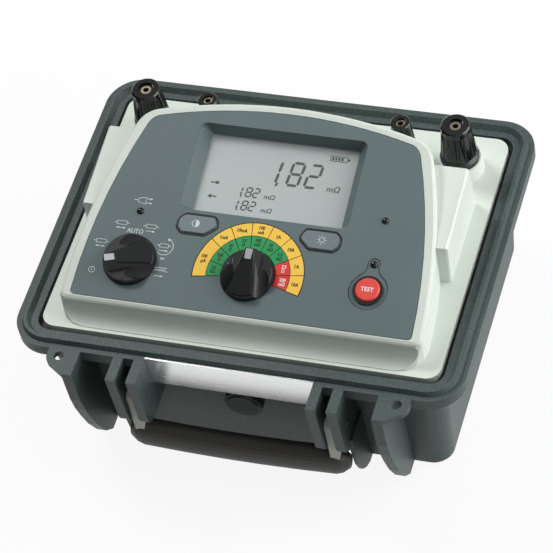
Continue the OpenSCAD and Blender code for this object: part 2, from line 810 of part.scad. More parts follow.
// Solid of the console, drawn in by a wall thickness
module console_block(inset) {
    hull() {
        slice(deck_z - deck_t - inset) foot_outline(inset);
        on_face() for (i = [0:(inset > 0 ? 0 : crest_steps)]) {
            a = 90 * i / crest_steps;
            translate([0, 0, -inset - (inset > 0 ? fascia_t : 0) - crest_r * (1 - cos(a)) - slice_t])
                linear_extrude(slice_t) face_outline(inset + crest_r * (1 - sin(a)));
        }
    }
}

// Shoulder beside the console, with a bevelled outer edge
module shoulder() {
    edge = crest_r / 2;
    hull() {
        plate_yz(shoulder_in_x, shoulder_x - edge) shoulder_outline(0);
        plate_yz(shoulder_in_x, shoulder_x) shoulder_outline(edge);
    }
}

// Outline of a shoulder in (y, z)
module shoulder_outline(edge) {
    rear_z = rim_z + shoulder_rise - edge;
    front_z = rear_z - shoulder_len * tan(shoulder_pitch);
    low_z = deck_z - deck_t;
    polygon([[shoulder_front_y + edge / 2 - shoulder_end_draft / 2, low_z],
             [shoulder_front_y + edge / 2, front_z],
             [shoulder_rear_y - edge / 2, rear_z],
             [shoulder_rear_y - edge / 2 + shoulder_end_draft, low_z]]);
}

// Raised seat of a terminal
module terminal_boss(x, y, seat, r) {
    translate([x, y, deck_z - deck_t])
        cylinder(r1 = r + boss_flare, r2 = r + boss_flare / 3, h = rim_z + seat - deck_z + deck_t);
}

module terminal_places() {
    for (s = [-1, 1]) {
        translate([s * current_x, current_y, 0]) children(0);
        translate([s * potential_x, potential_y, 0]) children(1);
    }
}

// Posts under the face that carry the two boards
module board_posts() {
    on_face() {
        for (s = [-1, 1], t = [-1, 1])
            translate([s * (display_board_w / 2 - 2 * post_r),
                       display_board_v + t * (display_board_h / 2 - 2 * post_r), board_dz])
                cylinder(r = post_r, h = face_inner_dz - board_dz + over);
        for (s = [-1, 1], t = [-1, 1])
            translate([s * (switch_board_w / 2 - 2 * post_r),
                       knob_v + t * (switch_board_h / 2 - 2 * post_r), switch_dz])
                cylinder(r = post_r, h = face_inner_dz - switch_dz + over);
    }
}

// Everything that passes through the face, as flat outlines
module face_holes(gap) {
    translate([mode_u, knob_v]) circle(bush_r + gap);
    translate([range_u, knob_v]) circle(bush_r + gap);
    for (p = lamp_places) translate(p) circle(lamp_r + gap);
    both_keys() offset(r = key_gap) key_outline();
}

module deck_moulding() color("#c8d0c8") {
    difference() {
        union() {
            translate([0, 0, deck_z - deck_t]) linear_extrude(deck_t) round_rect(deck_w, deck_d, deck_corner_r);
            translate([0, 0, skirt_z]) linear_extrude(deck_z - skirt_z - deck_t / 2) difference() {
                round_rect(deck_w, deck_d, deck_corner_r);
                round_rect(deck_w - 2 * skirt_t, deck_d - 2 * skirt_t, deck_corner_r - skirt_t);
            }
            difference() {
                console_block(0);
                translate([-case_w / 2, cove_y, cove_z]) rotate([0, 90, 0])
                    cylinder(r = cove_r, h = case_w, $fn = big_fn);
            }
            both_sides() {
                shoulder();
                terminal_boss(current_x, current_y, current_seat, current_base_r);
                terminal_boss(potential_x, potential_y, potential_seat, potential_base_r);
            }
        }
        difference() {
            console_block(deck_t);
            board_posts();
        }
        on_face() {
            translate([0, 0, -fascia_t]) linear_extrude(fascia_t + over) fascia_outline(-fascia_gap);
            translate([0, window_v, -fascia_t - frame_t - over]) linear_extrude(frame_t + 2 * over)
                square([bezel_w + 2 * bezel_flange + 2 * running_fit,
                        bezel_h + 2 * bezel_flange + 2 * running_fit], center = true);
            translate([0, 0, face_inner_dz - over]) linear_extrude(deck_t + 2 * over) face_holes(running_fit);
            translate([test_u, test_v, face_inner_dz - over]) cylinder(r = ring_r + running_fit, h = deck_t + 2 * over);
        }
        terminal_places() {
            translate([0, 0, skirt_z]) cylinder(r = current_stud_r + running_fit, h = current_top);
            translate([0, 0, skirt_z]) cylinder(r = potential_stud_r + running_fit, h = current_top);
        }
    }
}

module fascia_outline(inset) {
    console_outline(fascia_w - 2 * inset, fascia_front_v + inset, fascia_rear_v - inset,
                    fascia_side_r - inset, fascia_arch_r - inset, fascia_corner_r - inset, fascia_front_r);
}

// Outline of the sunk field round the test button and its lamp
module keyhole_outline() {
    offset(r = -keyhole_fillet, $fn = 64) offset(delta = keyhole_fillet) {
        translate([test_u, test_v]) circle(keyhole_r);
        translate(lamp_places[2]) circle(keyhole_lamp_r);
        translate([test_u - keyhole_lamp_r / 2, test_v]) square([keyhole_lamp_r, test_lamp_v - test_v]);
    }
}

module fascia_panel() color("#5d6b74") {
    on_face() difference() {
        translate([0, 0, -fascia_t]) linear_extrude(fascia_t) difference() {
            fascia_outline(0);
            translate([0, window_v]) round_rect(bezel_w, bezel_h, bezel_r);
            face_holes(running_fit);
            translate([test_u, test_v]) circle(ring_r + running_fit);
        }
        translate([0, 0, -keyhole_depth]) linear_extrude(over) keyhole_outline();
    }
}

module display_frame() color("#56656c") {
    outer_w = bezel_w + 2 * bezel_flange;
    outer_h = bezel_h + 2 * bezel_flange;
    on_face() translate([0, window_v, -fascia_t - frame_t]) difference() {
        linear_extrude(frame_t) square([outer_w, outer_h], center = true);
        hull() {
            slice(frame_t + slice_t) round_rect(bezel_w, bezel_h, bezel_r);
            slice(frame_t + fascia_t - window_depth - slice_t) round_rect(window_w, window_h, bezel_r / 4);
        }
        translate([0, 0, -over]) linear_extrude(frame_t + fascia_t - window_depth + over)
            square([module_w + 2 * running_fit, module_h + 2 * running_fit], center = true);
    }
}

module display_window() color("#9aa6a4") {
    on_face() translate([0, window_v, -window_depth - glass_t]) linear_extrude(glass_t)
        square([module_w, module_h], center = true);
}

module display_module() color("#8c9794") {
    on_face() translate([0, window_v, module_dz - module_t]) linear_extrude(module_t)
        square([module_w, module_h], center = true);
}

module display_board() color("#2f6b3a") {
    on_face() translate([0, display_board_v, board_dz - board_t]) linear_extrude(board_t)
        square([display_board_w, display_board_h], center = true);
}

module switch_board() color("#2f6b3a") {
    on_face() translate([0, knob_v, switch_dz - board_t]) linear_extrude(board_t)
        square([switch_board_w, switch_board_h], center = true);
}

// Rotary switch on its board: body, and a bush that reaches through the face
module rotary_switch(u) {
    on_face() translate([u, knob_v, switch_dz]) difference() {
        union() {
            cylinder(r = switch_r, h = switch_depth);
            cylinder(r = bush_r, h = switch_depth + deck_t + fascia_t);
        }
        translate([0, 0, switch_depth / 2])
            cylinder(r = shaft_r + running_fit, h = switch_depth + deck_t + fascia_t);
    }
}

module mode_switch() color("#3a3d40") rotary_switch(mode_u);
module range_switch() color("#3a3d40") rotary_switch(range_u);

module knob_shaft(u) {
    shaft_len = switch_depth / 2 + deck_t + fascia_t + knob_disc_h;
    on_face() translate([u, knob_v, switch_dz + switch_depth / 2 + small_gap])
        cylinder(r = shaft_r, h = shaft_len);
}

module mode_shaft() color("#a7a9aa") knob_shaft(mode_u);
module range_shaft() color("#a7a9aa") knob_shaft(range_u);

// Place of a knob: X along its pointer
module knob_place(u, angle) {
    on_face() translate([u, knob_v, small_gap]) rotate(angle) children();
}

// Plan of the grip wedge, narrow at the pointer and wide at the tail
module wedge_plan(tip_x, flare) {
    polygon([[tip_x, bar_tip + flare], [-knob_disc_r, bar_tail + flare / 2],
             [-knob_disc_r, -bar_tail - flare / 2], [tip_x, -bar_tip - flare]]);
}

module knob_body() {
    lip = knob_disc_r / 20;
    difference() {
        union() {
            cylinder(r1 = knob_r, r2 = knob_disc_r + lip / 2, h = knob_disc_h - lip / 2);
            translate([0, 0, knob_disc_h - lip / 2])
                cylinder(r1 = knob_disc_r + lip / 2, r2 = knob_disc_r, h = lip / 2);
            intersection() {
                hull() {
                    translate([0, 0, knob_disc_h - lip]) linear_extrude(lip) wedge_plan(knob_disc_r, bar_flare);
                    translate([wedge_tip, -bar_tip, knob_disc_h]) cube([lip, 2 * bar_tip, bar_h]);
                    translate([-knob_disc_r, -bar_tail, knob_disc_h]) cube([lip, 2 * bar_tail, lip]);
                }
                translate([0, 0, knob_disc_h - lip])
                    cylinder(r = knob_disc_r - lip / 2, h = bar_h + 2 * lip);
            }
        }
        for (s = [-1, 1]) translate([0, s * scoop_y, knob_disc_h + scoop_r - lip])
            rotate(-s * wedge_yaw) rotate([0, 90 - wedge_drop, 0])
                cylinder(r = scoop_r, h = 4 * knob_r, center = true);
        translate([0, 0, -over]) cylinder(r = shaft_r + press_fit, h = knob_disc_h + over);
        pointer_solid(press_fit);
    }
}

// White insert on the wedge, at the pointer's end
module pointer_solid(gap) {
    pointer_len = knob_r / 2.7;
    pointer_t = bar_h / 3;
    proud = gap > 0 ? over : 0;
    translate([wedge_tip, 0, knob_disc_h + bar_h]) rotate([0, -wedge_drop, 0])
        translate([-pointer_len - gap, -bar_tip - gap, -pointer_t - gap])
            cube([pointer_len + gap + proud, 2 * bar_tip + 2 * gap, pointer_t + gap + proud]);
}

module mode_knob() color("#191a1c") knob_place(mode_u, mode_angle) knob_body();
module range_knob() color("#191a1c") knob_place(range_u, range_angle) knob_body();
module mode_pointer() color("#e9ecec") knob_place(mode_u, mode_angle) pointer_solid(0);
module range_pointer() color("#e9ecec") knob_place(range_u, range_angle) pointer_solid(0);

module test_ring() color("#141516") {
    on_face() translate([test_u, test_v, face_inner_dz]) difference() {
        union() {
            cylinder(r = ring_r, h = fascia_t + deck_t + test_ring_h);
            translate([0, 0, -washer_t]) cylinder(r = ring_r + test_ring_w, h = washer_t);
        }
        translate([0, 0, -washer_t - over])
            cylinder(r = test_r + running_fit, h = fascia_t + deck_t + test_ring_h + washer_t + 2 * over);
    }
}

module test_button() color("#d8402f") {
    top = test_ring_h + test_proud;
    dome = test_proud / 2;
    on_face() translate([test_u, test_v, 0]) {
        translate([0, 0, face_inner_dz]) cylinder(r = test_r, h = top - face_inner_dz - dome);
        translate([0, 0, top - dome]) cylinder(r1 = test_r, r2 = test_r - dome, h = dome);
        translate([0, 0, face_inner_dz - deck_t]) cylinder(r = stem_r, h = deck_t + over);
    }
}

module test_switch() color("#202225") {
    top_dz = face_inner_dz - deck_t - test_travel - small_gap;
    on_face() translate([test_u - test_r, test_v - test_r, switch_dz])
        cube([2 * test_r, 2 * test_r, top_dz - switch_dz]);
}

// Plan of a key: round on one side, cut back towards the dial on the other
module key_outline() {
    w = key_w / 2 - key_edge_r;
    h = key_h / 2 - key_edge_r;
    offset(r = key_edge_r)
        polygon([[-w, h / 2], [-w + h / 2, h], [w - h / 3, h], [w, h / 3],
                 [w - 1.6 * h, -h], [-w + h / 2, -h], [-w, -h / 2]]);
}

module both_keys() {
    translate([-key_u, key_v]) key_outline();
    translate([key_u, key_v]) mirror([1, 0]) key_outline();
}

module key_body() {
    edge = key_proud / 3;
    translate([0, 0, face_inner_dz]) linear_extrude(key_proud - edge - face_inner_dz) key_outline();
    translate([0, 0, key_proud - edge]) linear_extrude(edge) offset(delta = -edge) key_outline();
}

module contrast_button() color("#5d6b74") on_face() translate([-key_u, key_v, 0]) key_body();
module backlight_button() color("#5d6b74") on_face() translate([key_u, key_v, 0]) mirror([1, 0, 0]) key_body();

module key_switches() color("#202225") {
    side = key_h / 2;
    top_dz = face_inner_dz - key_travel - small_gap;
    on_face() for (s = [-1, 1])
        translate([s * key_u - side / 2, key_v - side / 2, board_dz]) cube([side, side, top_dz - board_dz]);
}

module lamp(i) {
    on_face() translate(concat(lamp_places[i], [0])) {
        translate([0, 0, face_inner_dz - lamp_tail]) cylinder(r = lamp_r + lamp_flange, h = lamp_tail);
        translate([0, 0, face_inner_dz]) cylinder(r = lamp_r, h = lamp_proud / 2 - face_inner_dz);
        translate([0, 0, lamp_proud / 2]) cylinder(r1 = lamp_r, r2 = lamp_r / 2, h = lamp_proud / 2);
    }
}

module mains_lamp() color("#22282a") lamp(0);
module contact_lamp() color("#22282a") lamp(1);
module test_lamp() color("#22282a") lamp(2);

// Parts of a binding post, each about its own axis
module post_base(seat, r, stud) {
    translate([0, 0, rim_z + seat]) difference() {
        union() {
            cylinder(r = r, h = 0.6 * terminal_base_h);
            translate([0, 0, 0.6 * terminal_base_h]) cylinder(r1 = r, r2 = 0.86 * r, h = 0.4 * terminal_base_h);
        }
        translate([0, 0, -over]) cylinder(r = stud + running_fit, h = terminal_base_h + 2 * over);
    }
}

module post_stud(seat, top, stud) {
    bottom = deck_z - deck_t - stud_tail;
    translate([0, 0, bottom]) difference() {
        cylinder(r = stud, h = rim_z + top - cap_ring_depth - bottom);
        translate([0, 0, rim_z + top - cap_ring_depth - bottom - socket_depth])
            cylinder(r = socket_r, h = socket_depth + over);
    }
}

module post_washer(seat, r, stud) {
    translate([0, 0, rim_z + seat + terminal_base_h]) difference() {
        cylinder(r = 0.8 * r, h = washer_t);
        translate([0, 0, -over]) cylinder(r = stud + running_fit, h = washer_t + 2 * over);
    }
}

module post_cap(seat, top, r_top, r_low, stud) {
    low = rim_z + seat + terminal_base_h + washer_t;
    h = rim_z + top - low;
    rim_h = cap_rim_share * h;
    flute_r = flute_share * r_top;
    lean = atan((r_low - r_top) / (h - rim_h));
    translate([0, 0, low]) difference() {
        union() {
            cylinder(r1 = r_low, r2 = r_top, h = h - rim_h);
            translate([0, 0, h - rim_h]) cylinder(r = r_top, h = 0.8 * rim_h);
            translate([0, 0, h - 0.2 * rim_h])
                cylinder(r1 = r_top, r2 = r_top - 0.2 * rim_h, h = 0.2 * rim_h);
        }
        for (i = [1:flutes]) rotate(i * 360 / flutes)
            translate([r_low + 0.45 * flute_r, 0, -over]) rotate([0, -lean, 0])
                cylinder(r = flute_r, h = h - rim_h + over);
        translate([0, 0, -over]) cylinder(r = stud + running_fit, h = h + 2 * over);
        translate([0, 0, h - cap_ring_depth]) cylinder(r = cap_ring_share * r_top, h = cap_ring_depth + over);
    }
}

module current_post(side) translate([side * current_x, current_y, 0]) children();
module potential_post(side) translate([side * potential_x, potential_y, 0]) children();

module current_base() color("#151617") post_base(current_seat, current_base_r, current_stud_r);
module current_stud() color("#b59a55") post_stud(current_seat, current_top, current_stud_r);
module current_washer() color("#c2c4c4") post_washer(current_seat, current_base_r, current_stud_r);
module current_cap() color("#131415")
    post_cap(current_seat, current_top, current_cap_r, current_skirt_r, current_stud_r);
module potential_base() color("#151617") post_base(potential_seat, potential_base_r, potential_stud_r);
module potential_stud() color("#b59a55") post_stud(potential_seat, potential_top, potential_stud_r);
module potential_washer() color("#c2c4c4") post_washer(potential_seat, potential_base_r, potential_stud_r);
module potential_cap() color("#131415")
    post_cap(potential_seat, potential_top, potential_cap_r, potential_skirt_r, potential_stud_r);

// Nuts that hold the four studs under the deck
module terminal_nuts() color("#b8babb") {
    terminal_places() {
        post_nut(current_stud_r);
        post_nut(potential_stud_r);
    }
}

module post_nut(stud) {
    translate([0, 0, deck_z - deck_t - nut_h]) difference() {
        cylinder(r = 1.9 * stud, h = nut_h, $fn = 6);
        translate([0, 0, -over]) cylinder(r = stud + running_fit, h = nut_h + 2 * over);
    }
}

module main_board() color("#2f6b3a") {
    translate([0, main_board_y, main_board_z]) linear_extrude(board_t)
        square([main_board_w, main_board_d], center = true);
}

module board_standoffs() color("#b59a55") {
    for (sx = [-1, 1], sy = [-1, 1])
        translate([sx * (main_board_w / 2 - 2 * standoff_r),
                   main_board_y + sy * (main_board_d / 2 - 2 * standoff_r), floor_t])
            cylinder(r = standoff_r, h = standoff_h, $fn = 6);
}

module battery_pack() color("#3d5a80") {
    cells = 5;
    pitch = battery_w / cells;
    translate([battery_x - battery_w / 2, battery_y - battery_d / 2, floor_t]) {
        cube([battery_w, battery_d, battery_h - pitch / 2]);
        for (i = [0:cells - 1]) translate([pitch * (i + 0.5), 0, battery_h - pitch / 2])
            rotate([-90, 0, 0]) cylinder(r = pitch / 2, h = battery_d);
    }
}

module battery_strap() color("#8f9394") {
    outer_d = battery_d + 2 * strap_t;
    translate([battery_x - strap_w / 2, battery_y, floor_t]) difference() {
        union() {
            translate([0, -outer_d / 2, 0]) cube([strap_w, outer_d, battery_h + strap_t]);
            translate([0, -outer_d / 2 - 4 * strap_t, 0]) cube([strap_w, outer_d + 8 * strap_t, strap_t]);
        }
        translate([-over, -battery_d / 2 - running_fit, -over])
            cube([strap_w + 2 * over, battery_d + 2 * running_fit, battery_h + running_fit + over]);
    }
}

module transformer() color("#5a5d60") {
    translate([transformer_x, battery_y, floor_t]) {
        translate([-transformer_w / 2, -transformer_d / 4, 0])
            cube([transformer_w, transformer_d / 2, transformer_h]);
        translate([-transformer_w / 3, -transformer_d / 2, transformer_h / 6])
            cube([2 * transformer_w / 3, transformer_d, 2 * transformer_h / 3]);
    }
}

module heat_sink() color("#9b9fa1") {
    sink_w = main_board_w / 3;
    sink_d = main_board_d / 2;
    sink_h = 2 * standoff_h;
    fin_pitch = sink_w / fins;
    translate([-main_board_w / 2 + 3 * standoff_r, main_board_y - sink_d / 2, main_board_z + board_t]) {
        cube([sink_w, sink_d, sink_h / 6]);
        for (i = [0:fins - 1]) translate([fin_pitch * (i + 0.3), 0, 0])
            cube([fin_pitch / 4, sink_d, sink_h]);
    }
}

module current_shunt() color("#a9784a") {
    shunt_w = main_board_w / 5;
    shunt_d = main_board_d / 7;
    block = shunt_w / 5;
    translate([shunt_w / 4, main_board_y, main_board_z + board_t]) {
        for (x = [0, shunt_w - block]) translate([x, 0, 0]) cube([block, shunt_d, block]);
        translate([0, shunt_d / 4, block / 2]) cube([shunt_w, shunt_d / 2, block / 5]);
    }
}

module fuse_holder() color("#1b1c1e") {
    holder_w = main_board_w / 8;
    holder_r = main_board_d / 16;
    translate([main_board_w / 3, main_board_y - main_board_d / 4, main_board_z + board_t]) {
        cube([holder_w, 2 * holder_r, holder_r]);
        translate([0, holder_r, holder_r]) rotate([0, 90, 0]) cylinder(r = holder_r, h = holder_w);
    }
}

base_case();
deck_seal();
front_plate();
valve_body();
valve_knob();
handle_pins();
handle_arms();
handle_grip();
deck_moulding();
fascia_panel();
display_frame();
display_window();
display_module();
display_board();
switch_board();
mode_switch();
mode_shaft();
mode_knob();
mode_pointer();
range_switch();
range_shaft();
range_knob();
range_pointer();
test_ring();
test_button();
test_switch();
contrast_button();
backlight_button();
key_switches();
mains_lamp();
contact_lamp();
test_lamp();
current_post(-1) current_base();  // current_base_left
current_post(-1) current_stud();  // current_stud_left
current_post(-1) current_washer();  // current_washer_left
current_post(-1) current_cap();  // current_cap_left
current_post(1) current_base();  // current_base_right
current_post(1) current_stud();  // current_stud_right
current_post(1) current_washer();  // current_washer_right
current_post(1) current_cap();  // current_cap_right
potential_post(-1) potential_base();  // potential_base_left
potential_post(-1) potential_stud();  // potential_stud_left
potential_post(-1) potential_washer();  // potential_washer_left
potential_post(-1) potential_cap();  // potential_cap_left
potential_post(1) potential_base();  // potential_base_right
potential_post(1) potential_stud();  // potential_stud_right
potential_post(1) potential_washer();  // potential_washer_right
potential_post(1) potential_cap();  // potential_cap_right
terminal_nuts();
main_board();
board_standoffs();
battery_pack();
battery_strap();
transformer();
heat_sink();
current_shunt();
fuse_holder();
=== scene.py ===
import math

import bmesh
import bpy
from mathutils import Matrix, Vector


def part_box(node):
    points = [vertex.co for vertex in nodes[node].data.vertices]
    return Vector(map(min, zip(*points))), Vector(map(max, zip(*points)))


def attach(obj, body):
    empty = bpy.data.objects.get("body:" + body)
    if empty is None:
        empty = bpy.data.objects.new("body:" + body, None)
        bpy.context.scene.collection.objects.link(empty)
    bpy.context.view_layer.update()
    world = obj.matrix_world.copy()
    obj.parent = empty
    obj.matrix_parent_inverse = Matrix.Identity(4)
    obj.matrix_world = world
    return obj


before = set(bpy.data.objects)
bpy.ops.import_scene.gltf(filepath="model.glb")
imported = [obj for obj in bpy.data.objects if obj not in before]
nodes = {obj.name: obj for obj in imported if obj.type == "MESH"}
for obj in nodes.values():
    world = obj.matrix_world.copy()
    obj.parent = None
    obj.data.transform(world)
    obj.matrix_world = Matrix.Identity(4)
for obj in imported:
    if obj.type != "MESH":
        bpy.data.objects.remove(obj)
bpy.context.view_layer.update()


# Viewpoint.
# The meter is seen from the front, 26 degrees round to the right and from 50 degrees above,
# by a long lens held at a slight roll, with the middle of the case near the middle of the view.
view_round, view_height, view_roll = (math.radians(a) for a in (26.377, 50.435, -13.256))
lens_px, frame_px = 2906.366, 553
to_case = Vector((0.000747, -0.030544, 1.990191))
rim_z = 0.104

level = Vector((math.cos(view_round), math.sin(view_round), 0))
ahead = Vector((-math.sin(view_round) * math.cos(view_height),
                math.cos(view_round) * math.cos(view_height), -math.sin(view_height)))
above = level.cross(ahead)
across = math.cos(view_roll) * level + math.sin(view_roll) * above
upward = -math.sin(view_roll) * level + math.cos(view_roll) * above

camera_data = bpy.data.cameras.new("camera")
camera_data.sensor_width = 36
camera_data.lens = lens_px / frame_px * camera_data.sensor_width
camera_data.clip_start, camera_data.clip_end = 0.05, 50
camera = bpy.data.objects.new("camera", camera_data)
seat = -(to_case.x * across - to_case.y * upward + to_case.z * ahead) + Vector((0, 0, rim_z))
camera.matrix_world = Matrix.Translation(seat) @ Matrix((across, upward, -ahead)).transposed().to_4x4()
bpy.context.scene.collection.objects.link(camera)
bpy.context.scene.camera = camera
bpy.context.scene.view_settings.view_transform = "Standard"


# Lower half of the case.
# One thick injection moulding in a dark grey-green polypropylene, tough and slightly waxy. The tool
# was spark-eroded all over, so every face carries the same fine grain with paler specks in it.
def tone(code):
    """A colour written as a web code, in the scene's linear values."""
    parts = [int(code[i:i + 2], 16) / 255 for i in (0, 2, 4)]
    return [c / 12.92 if c <= 0.04045 else ((c + 0.055) / 1.055) ** 2.4 for c in parts] + [1]


def add(tree, kind, inputs=(), **settings):
    """A shader node with its settings, and with values or links on its inputs."""
    made = tree.nodes.new(kind)
    for key, value in settings.items():
        setattr(made, key, value)
    for key, value in dict(inputs).items():
        if isinstance(value, bpy.types.NodeSocket):
            tree.links.new(value, made.inputs[key])
        else:
            made.inputs[key].default_value = value
    return made


def finish_group(name, inputs, outputs):
    """An empty node group for a finish, with its sockets and its two end nodes."""
    group = bpy.data.node_groups.new(name, "ShaderNodeTree")
    for label, kind in inputs:
        group.interface.new_socket(label, in_out="INPUT", socket_type="NodeSocket" + kind)
    for label, kind in outputs:
        group.interface.new_socket(label, in_out="OUTPUT", socket_type="NodeSocket" + kind)
    return group, group.nodes.new("NodeGroupInput").outputs, group.nodes.new("NodeGroupOutput").inputs


moulded_skin, given, gives = finish_group(
    "moulded_skin",
    [("Point", "Vector"), ("Colour", "Color"), ("Fleck", "Color"), ("Flecks", "Float"),
     ("Grain", "Float"), ("Rough", "Float"), ("Spread", "Float")],
    [("Colour", "Color"), ("Roughness", "Float"), ("Height", "Float")])
grain = add(moulded_skin, "ShaderNodeTexNoise",
            {"Vector": given["Point"], "Scale": given["Grain"], "Detail": 3.0, "Roughness": 0.6})
coarse = add(moulded_skin, "ShaderNodeMath", {0: given["Grain"], 1: 0.43}, operation="MULTIPLY")
speck = add(moulded_skin, "ShaderNodeTexNoise",
            {"Vector": given["Point"], "Scale": coarse.outputs[0], "Detail": 2.0, "Roughness": 0.75})
speck_mask = add(moulded_skin, "ShaderNodeMapRange",
                 {"Value": speck.outputs["Fac"], "From Min": 0.46, "From Max": 0.72})
speck_share = add(moulded_skin, "ShaderNodeMath", {0: speck_mask.outputs[0], 1: given["Flecks"]},
                  operation="MULTIPLY")
broad = add(moulded_skin, "ShaderNodeTexNoise", {"Vector": given["Point"], "Scale": 14.0, "Detail": 2.0})
shade = add(moulded_skin, "ShaderNodeMapRange",
            {"Value": broad.outputs["Fac"], "From Min": 0.3, "From Max": 0.7, "To Min": 0.96, "To Max": 1.04})
speckled = add(moulded_skin, "ShaderNodeMix", {"Factor": speck_share.outputs[0]}, data_type="RGBA")
for socket, source in (("A", given["Colour"]), ("B", given["Fleck"])):
    moulded_skin.links.new(source, [s for s in speckled.inputs if s.name == socket and s.type == "RGBA"][0])
mottled = add(moulded_skin, "ShaderNodeVectorMath",
              {0: [s for s in speckled.outputs if s.type == "RGBA"][0]}, operation="SCALE")
moulded_skin.links.new(shade.outputs[0], mottled.inputs["Scale"])
drift = add(moulded_skin, "ShaderNodeMath", {0: grain.outputs["Fac"], 1: -0.5}, operation="ADD")
drifted = add(moulded_skin, "ShaderNodeMath", {0: drift.outputs[0], 1: given["Spread"], 2: given["Rough"]},
              operation="MULTIPLY_ADD")
moulded_skin.links.new(mottled.outputs[0], gives["Colour"])
moulded_skin.links.new(drifted.outputs[0], gives["Roughness"])
moulded_skin.links.new(grain.outputs["Fac"], gives["Height"])


def moulded(name, colour, fleck, flecks, grain_scale, rough, spread, relief, **surface):
    """A moulded, printed or rubbery finish: flecks from 0 to 1, relief in metres."""
    material = bpy.data.materials.new(name)
    material.use_nodes = True
    tree = material.node_tree
    shader = tree.nodes["Principled BSDF"]
    point = add(tree, "ShaderNodeTexCoord")
    skin = add(tree, "ShaderNodeGroup", node_tree=moulded_skin)
    for key, value in (("Colour", tone(colour)), ("Fleck", tone(fleck)), ("Flecks", flecks),
                       ("Grain", grain_scale), ("Rough", rough), ("Spread", spread)):
        skin.inputs[key].default_value = value
    tree.links.new(point.outputs["Object"], skin.inputs["Point"])
    bump = add(tree, "ShaderNodeBump", {"Height": skin.outputs["Height"], "Distance": relief})
    tree.links.new(skin.outputs["Colour"], shader.inputs["Base Color"])
    tree.links.new(skin.outputs["Roughness"], shader.inputs["Roughness"])
    tree.links.new(bump.outputs["Normal"], shader.inputs["Normal"])
    for key, value in surface.items():
        shader.inputs[key.replace("_", " ")].default_value = value
    return material


def dress(material, *names):
    """Gives CAD pieces their finish."""
    for name in names:
        slots = nodes[name].data.materials
        slots.clear()
        slots.append(material)


case_plastic = moulded("case_plastic", "3b4847", "6c7a78", 0.5, 2300, 0.46, 0.3, 0.00012,
                       Specular_IOR_Level=0.35)
dress(case_plastic, "base_case")


# Seal round the deck.
# A soft black rubber strip that lies on the shelf inside the rim and is squeezed under the deck's skirt.
seal_rubber = moulded("seal_rubber", "141515", "1f2020", 0.4, 2600, 0.62, 0.2, 0.00005)
dress(seal_rubber, "deck_seal")


# Plate on the front of the rim.
# A bare strip of brushed aluminium, cut to length and glued into its recess between the lugs.
drawn_metal, given, gives = finish_group(
    "drawn_metal",
    [("Point", "Vector"), ("Colour", "Color"), ("Stretch", "Vector"), ("Grain", "Float"),
     ("Rough", "Float"), ("Spread", "Float")],
    [("Colour", "Color"), ("Roughness", "Float"), ("Height", "Float")])
pulled = add(drawn_metal, "ShaderNodeVectorMath", {0: given["Point"], 1: given["Stretch"]},
             operation="MULTIPLY")
scratch = add(drawn_metal, "ShaderNodeTexNoise",
              {"Vector": pulled.outputs[0], "Scale": given["Grain"], "Detail": 4.0, "Roughness": 0.65})
smudge = add(drawn_metal, "ShaderNodeTexNoise", {"Vector": given["Point"], "Scale": 60.0, "Detail": 3.0})
light_dark = add(drawn_metal, "ShaderNodeMapRange",
                 {"Value": scratch.outputs["Fac"], "From Min": 0.3, "From Max": 0.7,
                  "To Min": 0.9, "To Max": 1.05})
varied = add(drawn_metal, "ShaderNodeVectorMath", {0: given["Colour"]}, operation="SCALE")
drawn_metal.links.new(light_dark.outputs[0], varied.inputs["Scale"])
patchy = add(drawn_metal, "ShaderNodeMath", {0: scratch.outputs["Fac"], 1: smudge.outputs["Fac"]},
             operation="ADD")
centred = add(drawn_metal, "ShaderNodeMath", {0: patchy.outputs[0], 1: -1.0}, operation="ADD")
uneven = add(drawn_metal, "ShaderNodeMath", {0: centred.outputs[0], 1: given["Spread"], 2: given["Rough"]},
             operation="MULTIPLY_ADD")
drawn_metal.links.new(varied.outputs[0], gives["Colour"])
drawn_metal.links.new(uneven.outputs[0], gives["Roughness"])
drawn_metal.links.new(scratch.outputs["Fac"], gives["Height"])


def metal(name, colour, stretch, grain_scale, rough, spread, relief):
    """A brushed, turned or plated metal: stretch sets how long the marks are along each axis."""
    material = bpy.data.materials.new(name)
    material.use_nodes = True
    tree = material.node_tree
    shader = tree.nodes["Principled BSDF"]
    point = add(tree, "ShaderNodeTexCoord")
    marks = add(tree, "ShaderNodeGroup", node_tree=drawn_metal)
    for key, value in (("Colour", tone(colour)), ("Stretch", stretch), ("Grain", grain_scale),
                       ("Rough", rough), ("Spread", spread)):
        marks.inputs[key].default_value = value
    tree.links.new(point.outputs["Object"], marks.inputs["Point"])
    bump = add(tree, "ShaderNodeBump", {"Height": marks.outputs["Height"], "Distance": relief})
    tree.links.new(marks.outputs["Colour"], shader.inputs["Base Color"])
    tree.links.new(marks.outputs["Roughness"], shader.inputs["Roughness"])
    tree.links.new(bump.outputs["Normal"], shader.inputs["Normal"])
    shader.inputs["Metallic"].default_value = 1
    return material


brushed_plate = metal("brushed_plate", "f8f9fa", (0.02, 1, 1), 2400, 0.26, 0.08, 0.000003)
dress(brushed_plate, "front_plate")


# Pressure relief valve.
# A black nylon body pushed through the front wall, with a knurled knob that a thumb can turn.
valve_nylon = moulded("valve_nylon", "2b3132", "3c4445", 0.4, 2200, 0.45, 0.2, 0.00004)
dress(valve_nylon, "valve_body", "valve_knob")


